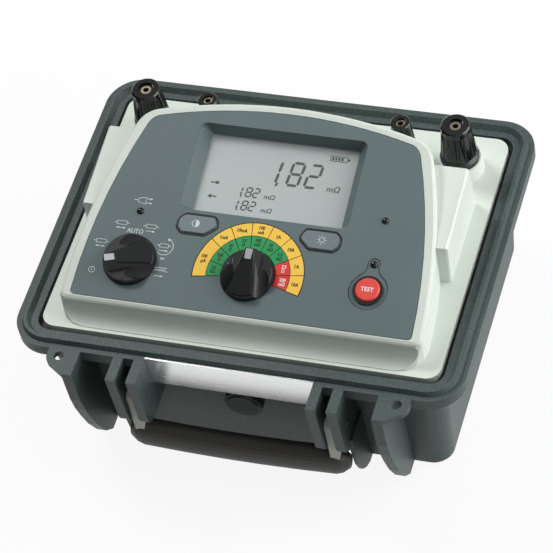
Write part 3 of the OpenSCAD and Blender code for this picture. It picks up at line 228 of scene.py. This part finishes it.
# Carrying handle.
# Two pale nylon arms swing on plated steel pins between the lugs. The grip is a soft black rubber
# moulded over the bar between them, and it hangs down in front of the case.
pin_steel = metal("pin_steel", "b9bbbc", (0.2, 1, 1), 1500, 0.3, 0.15, 0.00001)
arm_nylon = moulded("arm_nylon", "e2e4d8", "eceee4", 0.3, 2300, 0.45, 0.15, 0.00004)
grip_rubber = moulded("grip_rubber", "393734", "474441", 0.35, 3000, 0.5, 0.2, 0.00004)
dress(pin_steel, "handle_pins")
dress(arm_nylon, "handle_arms")
dress(grip_rubber, "handle_grip")


# Deck with the console.
# One moulding in a pale grey-green ABS, eroded to a satin grain. It drops into the rim on its seal,
# and the console that stands up from it has rounded edges that catch the light.
deck_plastic = moulded("deck_plastic", "d3dbd2", "dce3db", 0.3, 2100, 0.42, 0.16, 0.00005,
                       Specular_IOR_Level=0.35)
dress(deck_plastic, "deck_moulding")


# Fascia.
# A thin grey polycarbonate panel with a fine texture, glued into the face of the console. The frame of
# the display is moulded in the same grey, and slopes down to the window.
fascia_film = moulded("fascia_film", "617072", "697879", 0.35, 4200, 0.5, 0.12, 0.00002,
                      Specular_IOR_Level=0.25)
frame_plastic = moulded("frame_plastic", "5d6c6e", "667577", 0.3, 3600, 0.42, 0.12, 0.00002,
                        Specular_IOR_Level=0.3)
dress(fascia_film, "fascia_panel")
dress(frame_plastic, "display_frame")


# Printing on the fascia.
# Screen-printed in layers of ink about a tenth of a millimetre thick: black first, then the colours of the
# dial's cells, then their figures, and pale line drawings for the positions of the mode knob.
face_pitch, face_z = math.radians(14.6), 0.1452
face_place = Matrix.Translation((0, 0, face_z)) @ Matrix.Rotation(face_pitch, 4, "X") @ Matrix.Scale(0.001, 4)
ink_step = 0.05
dial_u, dial_v = 0, -61.2
dial_out, dial_mid, dial_in = 38.5, 29.05, 18.9
dial_start, dial_sector = 188.5, 22.6
dial_line, ground_lap = 0.22, 0.6
yellow_cells = [(0, 2, "100", "µA"), (2, 1, "1mA", ""), (3, 1, "10mA", ""), (4, 1, "100", "mA"),
                (5, 1, "1A", ""), (6, 1, "10A", ""), (7, 1, "1A", ""), (8, 1, "10A", "")]
inner_cells = [("2.5", "kΩ"), ("250", "Ω"), ("25", "Ω"), ("2.5", "Ω"), ("250", "mΩ"), ("25", "mΩ"),
               ("2.5", "mΩ"), ("2.5", "Ω"), ("250", "mΩ")]
green_count = 7
figure_cap, figure_weight = 2.5, 0.12
inner_cap, inner_weight, inner_shift = 0.9 * figure_cap, 0.1, 0.6
line_gap, figure_narrow = 0.68, 0.86


def ink(name, colour):
    """A screen ink: nearly even, with a faint mesh grain."""
    return moulded(name, colour, colour, 0, 5200, 0.5, 0.1, 0.000008, Specular_IOR_Level=0.25)


def thicken(bm, faces, height):
    """Gives a flat sheet of faces its thickness, upwards."""
    grown = bmesh.ops.extrude_face_region(bm, geom=faces)["geom"]
    bmesh.ops.translate(bm, vec=(0, 0, height), verts=[v for v in grown if isinstance(v, bmesh.types.BMVert)])


def ring_cell(bm, centre, r_in, r_out, start, sweep, low, height):
    """A cell of a printed ring: an edge spun about the ring's middle, then thickened."""
    middle = Vector((centre[0], centre[1], low))
    turned = Matrix.Rotation(math.radians(start), 3, "Z")
    ends = [bm.verts.new(middle + turned @ Vector((r, 0, 0))) for r in (r_in, r_out)]
    edge = bm.edges.new(ends)
    before = set(bm.faces)
    bmesh.ops.spin(bm, geom=[*ends, edge], cent=middle, axis=(0, 0, 1), angle=math.radians(sweep),
                   steps=max(2, round(abs(sweep) / 2.5)), use_merge=abs(sweep) > 359, use_duplicate=False)
    thicken(bm, [f for f in bm.faces if f not in before], height)


def patch(bm, corners, low, height):
    """A flat printed shape, from its corners."""
    thicken(bm, [bm.faces.new([bm.verts.new((x, y, low)) for x, y in corners])], height)


def trace(bm, points, width, low, closed=False):
    """A drawn line of even width along points, slightly raised."""
    curve = bpy.data.curves.new("line", "CURVE")
    curve.dimensions = "3D"
    curve.bevel_depth, curve.bevel_resolution, curve.use_fill_caps = width / 2, 1, True
    spline = curve.splines.new("POLY")
    spline.points.add(len(points) - 1)
    for place, (x, y) in zip(spline.points, points):
        place.co = (x, y, 0, 1)
    spline.use_cyclic_u = closed
    drawn = bpy.data.objects.new("line", curve)
    mesh = bpy.data.meshes.new_from_object(drawn)
    mesh.transform(Matrix.Translation((0, 0, low)) @ Matrix.Diagonal((1, 1, ink_step * 2 / width, 1)))
    bm.from_mesh(mesh)
    bpy.data.objects.remove(drawn)
    bpy.data.curves.remove(curve)
    bpy.data.meshes.remove(mesh)


def arc_points(centre, radius, start, sweep, count=16):
    """Points along an arc, in degrees from the right."""
    turns = [math.radians(start + sweep * i / count) for i in range(count + 1)]
    return [(centre[0] + radius * math.cos(t), centre[1] + radius * math.sin(t)) for t in turns]


def words(bm, text, cap, centre, low, narrow=1.0, weight=0.0, slant=0.0, height=ink_step):
    """Printed letters whose middle lies at centre, cap millimetres high."""
    curve = bpy.data.curves.new("letters", "FONT")
    curve.body, curve.size, curve.resolution_u = text, cap / 0.7, 2
    curve.extrude, curve.offset, curve.shear = height / 2, weight, slant
    curve.align_x = "CENTER"
    lettered = bpy.data.objects.new("letters", curve)
    mesh = bpy.data.meshes.new_from_object(lettered)
    wide = [v.co.x for v in mesh.vertices]
    middle = Vector(((min(wide) + max(wide)) / 2, cap / 2, 0))
    mesh.transform(Matrix.Translation((*centre, low + height / 2)) @ Matrix.Diagonal((narrow, 1, 1, 1))
                   @ Matrix.Translation(-middle))
    bm.from_mesh(mesh)
    bpy.data.objects.remove(lettered)
    bpy.data.curves.remove(curve)
    bpy.data.meshes.remove(mesh)


def into_scene(name, bm, material, body, place):
    """Makes a piece from a mesh in millimetres, and lets it ride on its body."""
    bmesh.ops.recalc_face_normals(bm, faces=bm.faces)
    bm.transform(place)
    mesh = bpy.data.meshes.new(name)
    bm.to_mesh(mesh)
    bm.free()
    mesh.materials.append(material)
    piece = bpy.data.objects.new(name, mesh)
    bpy.context.scene.collection.objects.link(piece)
    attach(piece, body)
    return piece


black_ink = ink("black_ink", "1c1a14")
yellow_ink = ink("yellow_ink", "fbcc50")
green_ink = ink("green_ink", "279a58")
red_ink = ink("red_ink", "de3d35")
white_ink = ink("white_ink", "f2e9e6")
pale_ink = ink("pale_ink", "d0d7d8")

dial_ground = bmesh.new()
ring_cell(dial_ground, (dial_u, dial_v), dial_in - dial_line, dial_out + 2 * dial_line,
          dial_start + ground_lap, -len(inner_cells) * dial_sector - 2 * ground_lap, 0, ink_step)
into_scene("dial_ground", dial_ground, black_ink, "case", face_place)

cells = {"yellow": bmesh.new(), "green": bmesh.new(), "red": bmesh.new()}
figures = {"dark": bmesh.new(), "light": bmesh.new()}


def dial_cell(bm, r_in, r_out, first, count):
    """One coloured cell, with the black ground left showing as a line round it."""
    inset = math.degrees(dial_line / r_in)
    ring_cell(bm, (dial_u, dial_v), r_in + dial_line, r_out - dial_line,
              dial_start - first * dial_sector - inset, -(count * dial_sector - 2 * inset),
              ink_step, ink_step)


def dial_figures(bm, radius, first, count, upper, lower, cap, weight):
    """One or two lines of upright figures in the middle of a cell."""
    turn = math.radians(dial_start - (first + count / 2) * dial_sector)
    u, v = dial_u + radius * math.cos(turn), dial_v + radius * math.sin(turn)
    gap = cap * line_gap if lower else 0
    words(bm, upper, cap, (u, v + gap), 2 * ink_step, figure_narrow, weight)
    if lower:
        words(bm, lower, cap, (u, v - gap), 2 * ink_step, figure_narrow, weight)


for first, count, upper, lower in yellow_cells:
    dial_cell(cells["yellow"], dial_mid, dial_out, first, count)
    dial_figures(figures["dark"], (dial_mid + dial_out) / 2, first, count, upper, lower,
                 figure_cap, figure_weight)
for first, (upper, lower) in enumerate(inner_cells):
    green = first < green_count
    dial_cell(cells["green" if green else "red"], dial_in, dial_mid, first, 1)
    dial_figures(figures["dark" if green else "light"], (dial_in + dial_mid) / 2 + inner_shift, first, 1,
                 upper, lower, inner_cap, inner_weight)
into_scene("dial_current_cells", cells["yellow"], yellow_ink, "case", face_place)
into_scene("dial_ohm_cells", cells["green"], green_ink, "case", face_place)
into_scene("dial_high_current_cells", cells["red"], red_ink, "case", face_place)
into_scene("dial_figures", figures["dark"], black_ink, "case", face_place)
into_scene("dial_light_figures", figures["light"], white_ink, "case", face_place)

drawing_w = 0.55
drawings = bmesh.new()


def resistor(u, v, arrows, w=7.6, h=2.6):
    """A resistor symbol, with the directions of its test current below it."""
    left, right, foot, top = u - w / 2, u + w / 2, v - h / 2, v + h / 2
    trace(drawings, [(left, foot), (right, foot), (right, top), (left, top)], drawing_w, 0, True)
    for s in (-1, 1):
        trace(drawings, [(u + s * w / 2, v), (u + s * (w / 2 + 2), v)], drawing_w, 0)
    arrow(u, v - h / 2 - 2.4, arrows)


def arrow(u, v, ways, half=3.1, head=1.5):
    """A short level arrow: ways holds -1 and 1 for its heads."""
    trace(drawings, [(u - half, v), (u + half, v)], drawing_w, 0)
    for s in ways:
        patch(drawings, [(u + s * (half + 0.6), v), (u + s * (half - head), v + s * head / 2),
                         (u + s * (half - head), v - s * head / 2)], 0, ink_step)


resistor(-107.3, -50.2, (-1, 1), 7.0)
resistor(-96.2, -35.0, (-1, 1), 7.0)
words(drawings, "AUTO", 3.3, (-85.6, -39.8), 0, 0.9, 0.03)
resistor(-75.1, -35.2, (1,), 7.0)
resistor(-62.6, -47.9, (1,), 6.2)
trace(drawings, arc_points((-62.2, -48.6), 6.1, 60, -190), drawing_w, 0)
patch(drawings, [(-60.9, -42.2), (-58.6, -42.9), (-60.5, -44.3)], 0, ink_step)
words(drawings, "∞", 2.2, (-61.6, -57.2), 0, 1.1, 0.05)

coil_u, coil_v = -61.4, -66.6
for k in range(4):
    trace(drawings, arc_points((coil_u - 3 + 2 * k, coil_v), 1, 180, -180, 8), drawing_w, 0)
trace(drawings, [(coil_u - 6, coil_v), (coil_u - 4, coil_v)], drawing_w, 0)
trace(drawings, [(coil_u + 4, coil_v), (coil_u + 6, coil_v)], drawing_w, 0)
trace(drawings, [(coil_u - 4.8, coil_v + 2.4), (coil_u + 4.8, coil_v + 2.4)], drawing_w, 0)
arrow(coil_u, coil_v - 3.6, (1,))

off_u, off_v = -108.6, -71.8
trace(drawings, arc_points((off_u, off_v), 2.1, 0, 360, 24), drawing_w, 0)
trace(drawings, [(off_u, off_v - 1), (off_u, off_v + 1)], drawing_w, 0)

plug_u, plug_v, pin_v, pin_half = -83.6, -16.9, 1.6, 0.45
trace(drawings, [(plug_u - 8.5, plug_v), (plug_u - 6, plug_v)], drawing_w, 0)
trace(drawings, [(plug_u - 6, plug_v), (plug_u - 5, plug_v + 1.5), (plug_u, plug_v + 2.5),
                 (plug_u, plug_v - 2.5), (plug_u - 5, plug_v - 1.5)], drawing_w, 0, True)
for k in (-1, 1):
    v = plug_v + pin_v * k
    trace(drawings, [(plug_u, v), (plug_u + 4.2, v)], drawing_w, 0)
    patch(drawings, [(plug_u + 2.4, v - pin_half), (plug_u + 4.4, v - pin_half),
                     (plug_u + 4.4, v + pin_half), (plug_u + 2.4, v + pin_half)], 0, ink_step)
into_scene("mode_drawings", drawings, pale_ink, "case", face_place)


# Display.
# A liquid crystal module with a grey reflective ground, seen through a clear acrylic window at the foot of
# the sloping frame. Its dark figures lie just under the glass and lean a little to the right.
module_dz = -10.6
digit_lean = 0.13

display_face = moulded("display_face", "c3cbca", "cad1d0", 0.25, 3200, 0.55, 0.1, 0.00001)
figure_black = moulded("figure_black", "1c1e1d", "242625", 0.2, 3600, 0.5, 0.1, 0.000005)
dress(display_face, "display_module")

window_acrylic = bpy.data.materials.new("window_acrylic")
window_acrylic.use_nodes = True
clear = window_acrylic.node_tree.nodes["Principled BSDF"]
haze_point = add(window_acrylic.node_tree, "ShaderNodeTexCoord")
haze = add(window_acrylic.node_tree, "ShaderNodeTexNoise",
           {"Vector": haze_point.outputs["Object"], "Scale": 40.0, "Detail": 4.0})
haze_rough = add(window_acrylic.node_tree, "ShaderNodeMapRange",
                 {"Value": haze.outputs["Fac"], "From Min": 0.3, "From Max": 0.7,
                  "To Min": 0.04, "To Max": 0.1})
haze_bump = add(window_acrylic.node_tree, "ShaderNodeBump",
                {"Height": haze.outputs["Fac"], "Distance": 0.00001})
window_acrylic.node_tree.links.new(haze_rough.outputs[0], clear.inputs["Roughness"])
window_acrylic.node_tree.links.new(haze_bump.outputs["Normal"], clear.inputs["Normal"])
clear.inputs["Base Color"].default_value = tone("c9d2d1")
clear.inputs["Alpha"].default_value = 0.12
dress(window_acrylic, "display_window")

segments = {"a": (0.04, 0.96, 1, 1), "d": (0.04, 0.96, 0, 0), "g": (0.04, 0.96, 0.5, 0.5),
            "f": (0, 0, 0.52, 0.98), "b": (1, 1, 0.52, 0.98),
            "e": (0, 0, 0.02, 0.48), "c": (1, 1, 0.02, 0.48)}
figure_strokes = {"1": "bc", "8": "abcdefg", "2": "abged"}
readout = bmesh.new()


def digit(figure, u, v, w, h, stroke):
    """A seven-segment figure with its lower left corner at (u, v)."""
    half = stroke / 2
    for key in figure_strokes[figure]:
        x0, x1, y0, y1 = segments[key]
        x0, x1 = u + x0 * w, u + x1 * w
        y0, y1 = v + y0 * h, v + y1 * h
        if y0 == y1:
            outline = [(x0, y0), (x0 + half, y0 - half), (x1 - half, y0 - half),
                       (x1, y0), (x1 - half, y0 + half), (x0 + half, y0 + half)]
        else:
            outline = [(x0, y0), (x0 + half, y0 + half), (x0 + half, y1 - half),
                       (x0, y1), (x0 - half, y1 - half), (x0 - half, y0 + half)]
        patch(readout, [(x + digit_lean * (y - v), y) for x, y in outline], 0, ink_step)


def reading(u, v, w, h, pitch, stroke):
    """One row that reads 1,82."""
    digit("1", u - w, v, w, h, stroke)
    mark_u, mark_v = u + 0.25 * w, v + 0.4 * stroke
    patch(readout, [(mark_u - stroke * 0.6, mark_v), (mark_u + stroke * 0.3, mark_v),
                    (mark_u - stroke * 0.2, v - stroke), (mark_u - stroke * 0.9, v - stroke)], 0, ink_step)
    digit("8", u + 0.62 * pitch, v, w, h, stroke)
    digit("2", u + 0.62 * pitch + pitch, v, w, h, stroke)


reading(-1.0, 12.4, 8.0, 16.9, 12.7, 2.0)
words(readout, "mΩ", 4.0, (40.4, 13.2), 0, 1.1, 0.1, 0.15)
for row_v in (0.2, -9.9):
    reading(-23.6 if row_v < 0 else -22.9, row_v, 3.7, 6.6, 5.3, 1.1)
    words(readout, "mΩ", 3.3, (-2.2, row_v + 1.5), 0, 1.1, 0.1, 0.15)
for tip, way in ((-38.9, 1), (-46.0, -1)):
    row_v = 7.8 if way > 0 else -2.6
    patch(readout, [(tip - way * 6.8, row_v - way * 0.5), (tip - way * 2, row_v - way * 0.5),
                    (tip - way * 2, row_v + way * 0.5), (tip - way * 6.8, row_v + way * 0.5)], 0, ink_step)
    patch(readout, [(tip, row_v), (tip - way * 3, row_v + way * 1.6), (tip - way * 3, row_v - way * 1.6)],
          0, ink_step)
battery_lines = [(33.3, 34.2), (45.3, 34.2), (45.3, 37.8), (33.3, 37.8)]
trace(readout, battery_lines, 0.8, ink_step / 2, True)
for k in range(4):
    left, right = 34.3 + 2.2 * k, 35.9 + 2.2 * k
    patch(readout, [(left, 34.9), (right, 34.9), (right, 37.1), (left, 37.1)], 0, ink_step)
patch(readout, [(45.6, 35.3), (47.1, 35.3), (47.1, 36.7), (45.6, 36.7)], 0, ink_step)
bmesh.ops.translate(readout, vec=(0, 0, module_dz), verts=readout.verts)
into_scene("display_figures", readout, figure_black, "case", face_place)


# Rotary knobs.
# Black glass-filled nylon, moulded with a grip wedge across a flat disc, and pushed on to plated shafts.
# A white pointer is moulded into the narrow end of the wedge.
knob_nylon = moulded("knob_nylon", "17191a", "222425", 0.25, 3000, 0.3, 0.14, 0.00003,
                     Specular_IOR_Level=0.35)
pointer_plastic = moulded("pointer_plastic", "b4babc", "c0c5c7", 0.2, 3200, 0.4, 0.1, 0.00001)
shaft_steel = metal("shaft_steel", "b3b5b7", (1, 1, 0.1), 1800, 0.28, 0.15, 0.00001)
switch_plastic = moulded("switch_plastic", "2c2f31", "393c3e", 0.3, 2400, 0.5, 0.15, 0.00003)
dress(knob_nylon, "mode_knob", "range_knob")
dress(pointer_plastic, "mode_pointer", "range_pointer")
dress(shaft_steel, "mode_shaft", "range_shaft")
dress(switch_plastic, "mode_switch", "range_switch", "test_switch", "key_switches")


def soften(width, *names):
    """Rounds the sharp edges of moulded pieces, so that they catch the light."""
    for name in names:
        weld = nodes[name].modifiers.new("weld", "WELD")
        weld.merge_threshold = 0.00001
        bevel = nodes[name].modifiers.new("edges", "BEVEL")
        bevel.width, bevel.segments = width, 2
        bevel.limit_method, bevel.angle_limit = "ANGLE", math.radians(45)
        bevel.harden_normals = True


soften(0.0005, "mode_knob", "range_knob")


# Keys, test button and lamps.
# The two keys are caps in the fascia's grey in a black rubber surround. The test button is red, with its word
# in white, inside a glossy black ring, and each lamp is a dark smoked dome. The black line along the step
# round the button's sunk field is painted shade.
key_u, key_v = 43.3, -29.6
key_w, key_h = 26.4, 12.6
key_gap, key_top = 0.4, 1.0
surround_w = 1.5
test_u, test_v, test_top = 83.4, -60.6, 2.8

key_plastic = moulded("key_plastic", "67767c", "708086", 0.3, 3600, 0.45, 0.12, 0.00002)
button_red = moulded("button_red", "e6443a", "ec4f44", 0.3, 3400, 0.38, 0.1, 0.00001)
ring_black = moulded("ring_black", "111213", "1b1c1d", 0.2, 2600, 0.25, 0.1, 0.00001, Coat_Weight=0.3)
lamp_black = moulded("lamp_black", "07090a", "0c0f10", 0.2, 2600, 0.1, 0.05, 0.000005)
dress(key_plastic, "contrast_button", "backlight_button")
dress(button_red, "test_button")
dress(ring_black, "test_ring")
dress(lamp_black, "mains_lamp", "contact_lamp", "test_lamp")

test_word = bmesh.new()
words(test_word, "TEST", 2.9, (test_u, test_v), test_top, 0.98, 0.09)
into_scene("test_word", test_word, white_ink, "test_key", face_place)


def key_edge(side, grow):
    """Outline of a key, grown by a margin, mirrored for the right one."""
    r = key_h / 4
    w, h = key_w / 2 - r, key_h / 2 - r
    corners = [(-w, h / 2), (-w + h / 2, h), (w - h / 3, h), (w, h / 3),
               (w - 1.6 * h, -h), (-w + h / 2, -h), (-w, -h / 2)]
    outline = []
    for i, (x, y) in enumerate(corners):
        before, after = Vector(corners[i - 1]), Vector(corners[(i + 1) % len(corners)])
        into, out = (Vector((x, y)) - before), (after - Vector((x, y)))
        a0 = math.degrees(math.atan2(into.y, into.x)) + 90
        turn = math.degrees(into.angle_signed(out))
        outline += arc_points((x, y), r + grow, a0, -turn, 4)
    return [(side * -key_u + side * x, key_v + y) for x, y in outline]


surround = bmesh.new()
for side in (1, -1):
    trace(surround, key_edge(side, key_gap + surround_w / 2), surround_w, 0, True)
into_scene("key_surrounds", surround, ring_black, "case", face_place)

keyhole_r, keyhole_lamp_r, keyhole_fillet, test_lamp_v = 13.0, 4.0, 8.0, -41.4
keyhole_shade_line = 0.5


def keyhole_step_shade(grow):
    """Outline of the sunk field round the test button and its lamp, grown by a margin, for the painted shade
    along its step.
    """
    apart = test_lamp_v - test_v
    reach, near = keyhole_r + keyhole_fillet, keyhole_lamp_r + keyhole_fillet
    rise = (reach ** 2 - near ** 2 + apart ** 2) / (2 * apart)
    out = math.sqrt(reach ** 2 - rise ** 2)
    low, high = math.degrees(math.atan2(rise, out)), math.degrees(math.atan2(rise - apart, out))
    bend = keyhole_fillet - grow
    return (arc_points((test_u, test_v), keyhole_r + grow, low, 2 * (90 - low) - 360, 48)
            + arc_points((test_u - out, test_v + rise), bend, -low, low - high, 10)
            + arc_points((test_u, test_lamp_v), keyhole_lamp_r + grow, 180 - high, 2 * high - 180, 20)
            + arc_points((test_u + out, test_v + rise), bend, 180 + high, low - high, 10))


# Painted shade: a thin black line along the step where the sunk field drops below the fascia.
painted_step_shade = bmesh.new()
trace(painted_step_shade, keyhole_step_shade(keyhole_shade_line / 2), keyhole_shade_line, 0, True)
into_scene("keyhole_step_shade", painted_step_shade, ring_black, "case", face_place)

dome_r, dome_rise, dome_foot = 2.6, 2.0, -0.3
mains_lamp_v, contact_lamp_v = -24.9, -9.3
domes = bmesh.new()
for name, lamp_v in (("mains_lamp", mains_lamp_v), ("contact_lamp", contact_lamp_v),
                     ("test_lamp", test_lamp_v)):
    left, right = (1000 * corner[0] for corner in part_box(name))
    dome = bmesh.ops.create_uvsphere(domes, u_segments=32, v_segments=16, radius=dome_r)["verts"]
    bmesh.ops.scale(domes, vec=(1, 1, dome_rise / dome_r), verts=dome)
    bmesh.ops.translate(domes, vec=((left + right) / 2, lamp_v, dome_foot), verts=dome)
bmesh.ops.bisect_plane(domes, geom=domes.verts[:] + domes.edges[:] + domes.faces[:],
                       plane_co=(0, 0, dome_foot), plane_no=(0, 0, 1), clear_inner=True)
bmesh.ops.holes_fill(domes, edges=[edge for edge in domes.edges if edge.is_boundary])
for face in domes.faces:
    face.smooth = len(face.verts) < 5
into_scene("lamp_domes", domes, lamp_black, "case", face_place)

half_disc = bmesh.new()
centre = (-key_u - 1.2, key_v + 0.4)
trace(half_disc, arc_points(centre, 2.5, 0, 360, 28), 0.5, key_top)
patch(half_disc, arc_points(centre, 2.3, 90, -180, 14), key_top, ink_step)
into_scene("contrast_sign", half_disc, pale_ink, "contrast_key", face_place)

sun = bmesh.new()
centre = (key_u + 1.2, key_v + 0.4)
sign_w = 0.45
trace(sun, arc_points(centre, 1.7, 0, 360, 24), sign_w, key_top)
for k in range(8):
    t = math.radians(45 * k)
    ray = [(centre[0] + r * math.cos(t), centre[1] + r * math.sin(t)) for r in (2.4, 3.4)]
    trace(sun, ray, sign_w, key_top)
into_scene("backlight_sign", sun, pale_ink, "backlight_key", face_place)


# Screw terminals.
# Each is a brass post with a socket for a test plug down its middle. A fluted black cap screws down on a
# plated washer to clamp a lead, over a collar that insulates the post from the deck.
cap_phenolic = moulded("cap_phenolic", "0d0e0f", "151617", 0.2, 2600, 0.12, 0.08, 0.000006,
                       Specular_IOR_Level=0.6)
collar_black = moulded("collar_black", "17191a", "252728", 0.2, 2400, 0.35, 0.12, 0.00002)
post_brass = metal("post_brass", "a69c86", (1, 1, 0.15), 1600, 0.32, 0.2, 0.00001)
washer_plate = metal("washer_plate", "c2c4c5", (1, 1, 0.4), 1500, 0.28, 0.15, 0.00001)
nut_steel = metal("nut_steel", "aeb0b2", (1, 1, 0.3), 1400, 0.35, 0.15, 0.00001)
for kind in ("current", "potential"):
    for side in ("left", "right"):
        dress(cap_phenolic, f"{kind}_cap_{side}")
        dress(collar_black, f"{kind}_base_{side}")
        dress(post_brass, f"{kind}_stud_{side}")
        dress(washer_plate, f"{kind}_washer_{side}")
dress(nut_steel, "terminal_nuts")


# Inside the case.
# Glass-fibre boards under a green mask, a pack of cells in shrink film under a steel strap, a transformer of
# stacked laminations, a finned heat sink, and a manganin bar that senses the test current.
board_mask = moulded("board_mask", "2c6a3c", "3f8450", 0.6, 900, 0.35, 0.2, 0.00004)
shrink_film = moulded("shrink_film", "2f4a6e", "3a587f", 0.2, 500, 0.3, 0.15, 0.00003, Coat_Weight=0.3)
strap_steel = metal("strap_steel", "9a9da0", (0.2, 1, 1), 1500, 0.35, 0.15, 0.00001)
lamination = metal("lamination", "54585b", (1, 1, 0.02), 2600, 0.5, 0.2, 0.00006)
sink_black = metal("sink_black", "505457", (1, 0.05, 1), 2200, 0.45, 0.2, 0.00002)
shunt_manganin = metal("shunt_manganin", "a9794b", (0.1, 1, 1), 1600, 0.35, 0.2, 0.00001)
spacer_brass = metal("spacer_brass", "b59a5a", (1, 1, 0.2), 1600, 0.3, 0.15, 0.00001)
fuse_black = moulded("fuse_black", "1b1d1e", "282a2b", 0.3, 2400, 0.4, 0.15, 0.00003)
dress(board_mask, "display_board", "switch_board", "main_board")
dress(shrink_film, "battery_pack")
dress(strap_steel, "battery_strap")
dress(lamination, "transformer")
dress(sink_black, "heat_sink")
dress(shunt_manganin, "current_shunt")
dress(spacer_brass, "board_standoffs")
dress(fuse_black, "fuse_holder")


# Floor, backdrop and lamps.
# A pale sheet under the case that runs off to white, a large soft lamp from the left and behind, two
# weaker ones from the right, and a white surround that lights the front of the case least.
floor_half, floor_drop = 6, -0.0003
floor_mesh = bmesh.new()
bmesh.ops.create_grid(floor_mesh, x_segments=1, y_segments=1, size=floor_half)
bmesh.ops.translate(floor_mesh, vec=(0, 0, floor_drop), verts=floor_mesh.verts)
floor_data = bpy.data.meshes.new("floor")
floor_mesh.to_mesh(floor_data)
floor_mesh.free()
floor = bpy.data.objects.new("floor", floor_data)
bpy.context.scene.collection.objects.link(floor)
paper = bpy.data.materials.new("paper")
paper.use_nodes = True
tree = paper.node_tree
sheet = tree.nodes["Principled BSDF"]
sheet.inputs["Roughness"].default_value = 0.9
rays = add(tree, "ShaderNodeLightPath")
paleness = add(tree, "ShaderNodeMapRange",
               {"Value": rays.outputs["Is Diffuse Ray"], "To Min": 0.9, "To Max": 0.25})
tree.links.new(paleness.outputs[0], sheet.inputs["Base Color"])
glow = add(tree, "ShaderNodeEmission", {"Color": (1, 1, 1, 1), "Strength": 1.0})
direct = add(tree, "ShaderNodeMath", {0: rays.outputs["Is Camera Ray"], 1: rays.outputs["Is Glossy Ray"]},
             operation="MAXIMUM")
seen = add(tree, "ShaderNodeMath", {0: direct.outputs[0], 1: 0.9}, operation="MULTIPLY")
whitened = add(tree, "ShaderNodeMixShader",
               {0: seen.outputs[0], 1: sheet.outputs["BSDF"], 2: glow.outputs[0]})
tree.links.new(whitened.outputs[0], tree.nodes["Material Output"].inputs["Surface"])
floor_data.materials.append(paper)

world = bpy.data.worlds.new("surround")
world.use_nodes = True
bpy.context.scene.world = world
tree = world.node_tree
rays = add(tree, "ShaderNodeLightPath")
place = add(tree, "ShaderNodeTexCoord")


def from_side(weights, level):
    """Strength that rises towards the side that the weights point to."""
    slope = add(tree, "ShaderNodeVectorMath", {0: place.outputs["Generated"], 1: weights},
                operation="DOT_PRODUCT")
    return add(tree, "ShaderNodeMath", {0: slope.outputs["Value"], 1: level}, operation="ADD", use_clamp=True)


ambient, sheen = from_side((0.12, 0.34, 0.08), 0.34), from_side((0.5, 0.1, 0.0), 0.5)
direct = add(tree, "ShaderNodeMath",
             {0: rays.outputs["Is Camera Ray"], 1: rays.outputs["Is Transmission Ray"]}, operation="MAXIMUM")
mirrored = add(tree, "ShaderNodeMapRange",
               {"Value": rays.outputs["Is Glossy Ray"], "To Min": ambient.outputs[0],
                "To Max": sheen.outputs[0]})
strength = add(tree, "ShaderNodeMapRange",
               {"Value": direct.outputs[0], "To Min": mirrored.outputs[0], "To Max": 1.0})
sky = tree.nodes["Background"]
sky.inputs["Color"].default_value = (1, 1, 1, 1)
tree.links.new(strength.outputs[0], sky.inputs["Strength"])


def soft_lamp(name, towards, distance, size, power):
    """A square soft box that looks at the middle of the case."""
    data = bpy.data.lights.new(name, "AREA")
    data.shape, data.size, data.energy = "SQUARE", size, power
    lamp = bpy.data.objects.new(name, data)
    way = Vector(towards).normalized()
    aim = Vector((0, 0, rim_z))
    turned = way.to_track_quat("Z", "Y").to_matrix().to_4x4()
    lamp.matrix_world = Matrix.Translation(aim + way * distance) @ turned
    bpy.context.scene.collection.objects.link(lamp)


soft_lamp("key_lamp", (-0.62, 0.34, 0.85), 2.0, 0.6, 20.5)
soft_lamp("side_lamp", (1.0, 0.25, 0.5), 0.75, 0.6, 3.8)
soft_lamp("low_lamp", (1.0, -0.3, 0.12), 1.2, 0.6, 3.4)
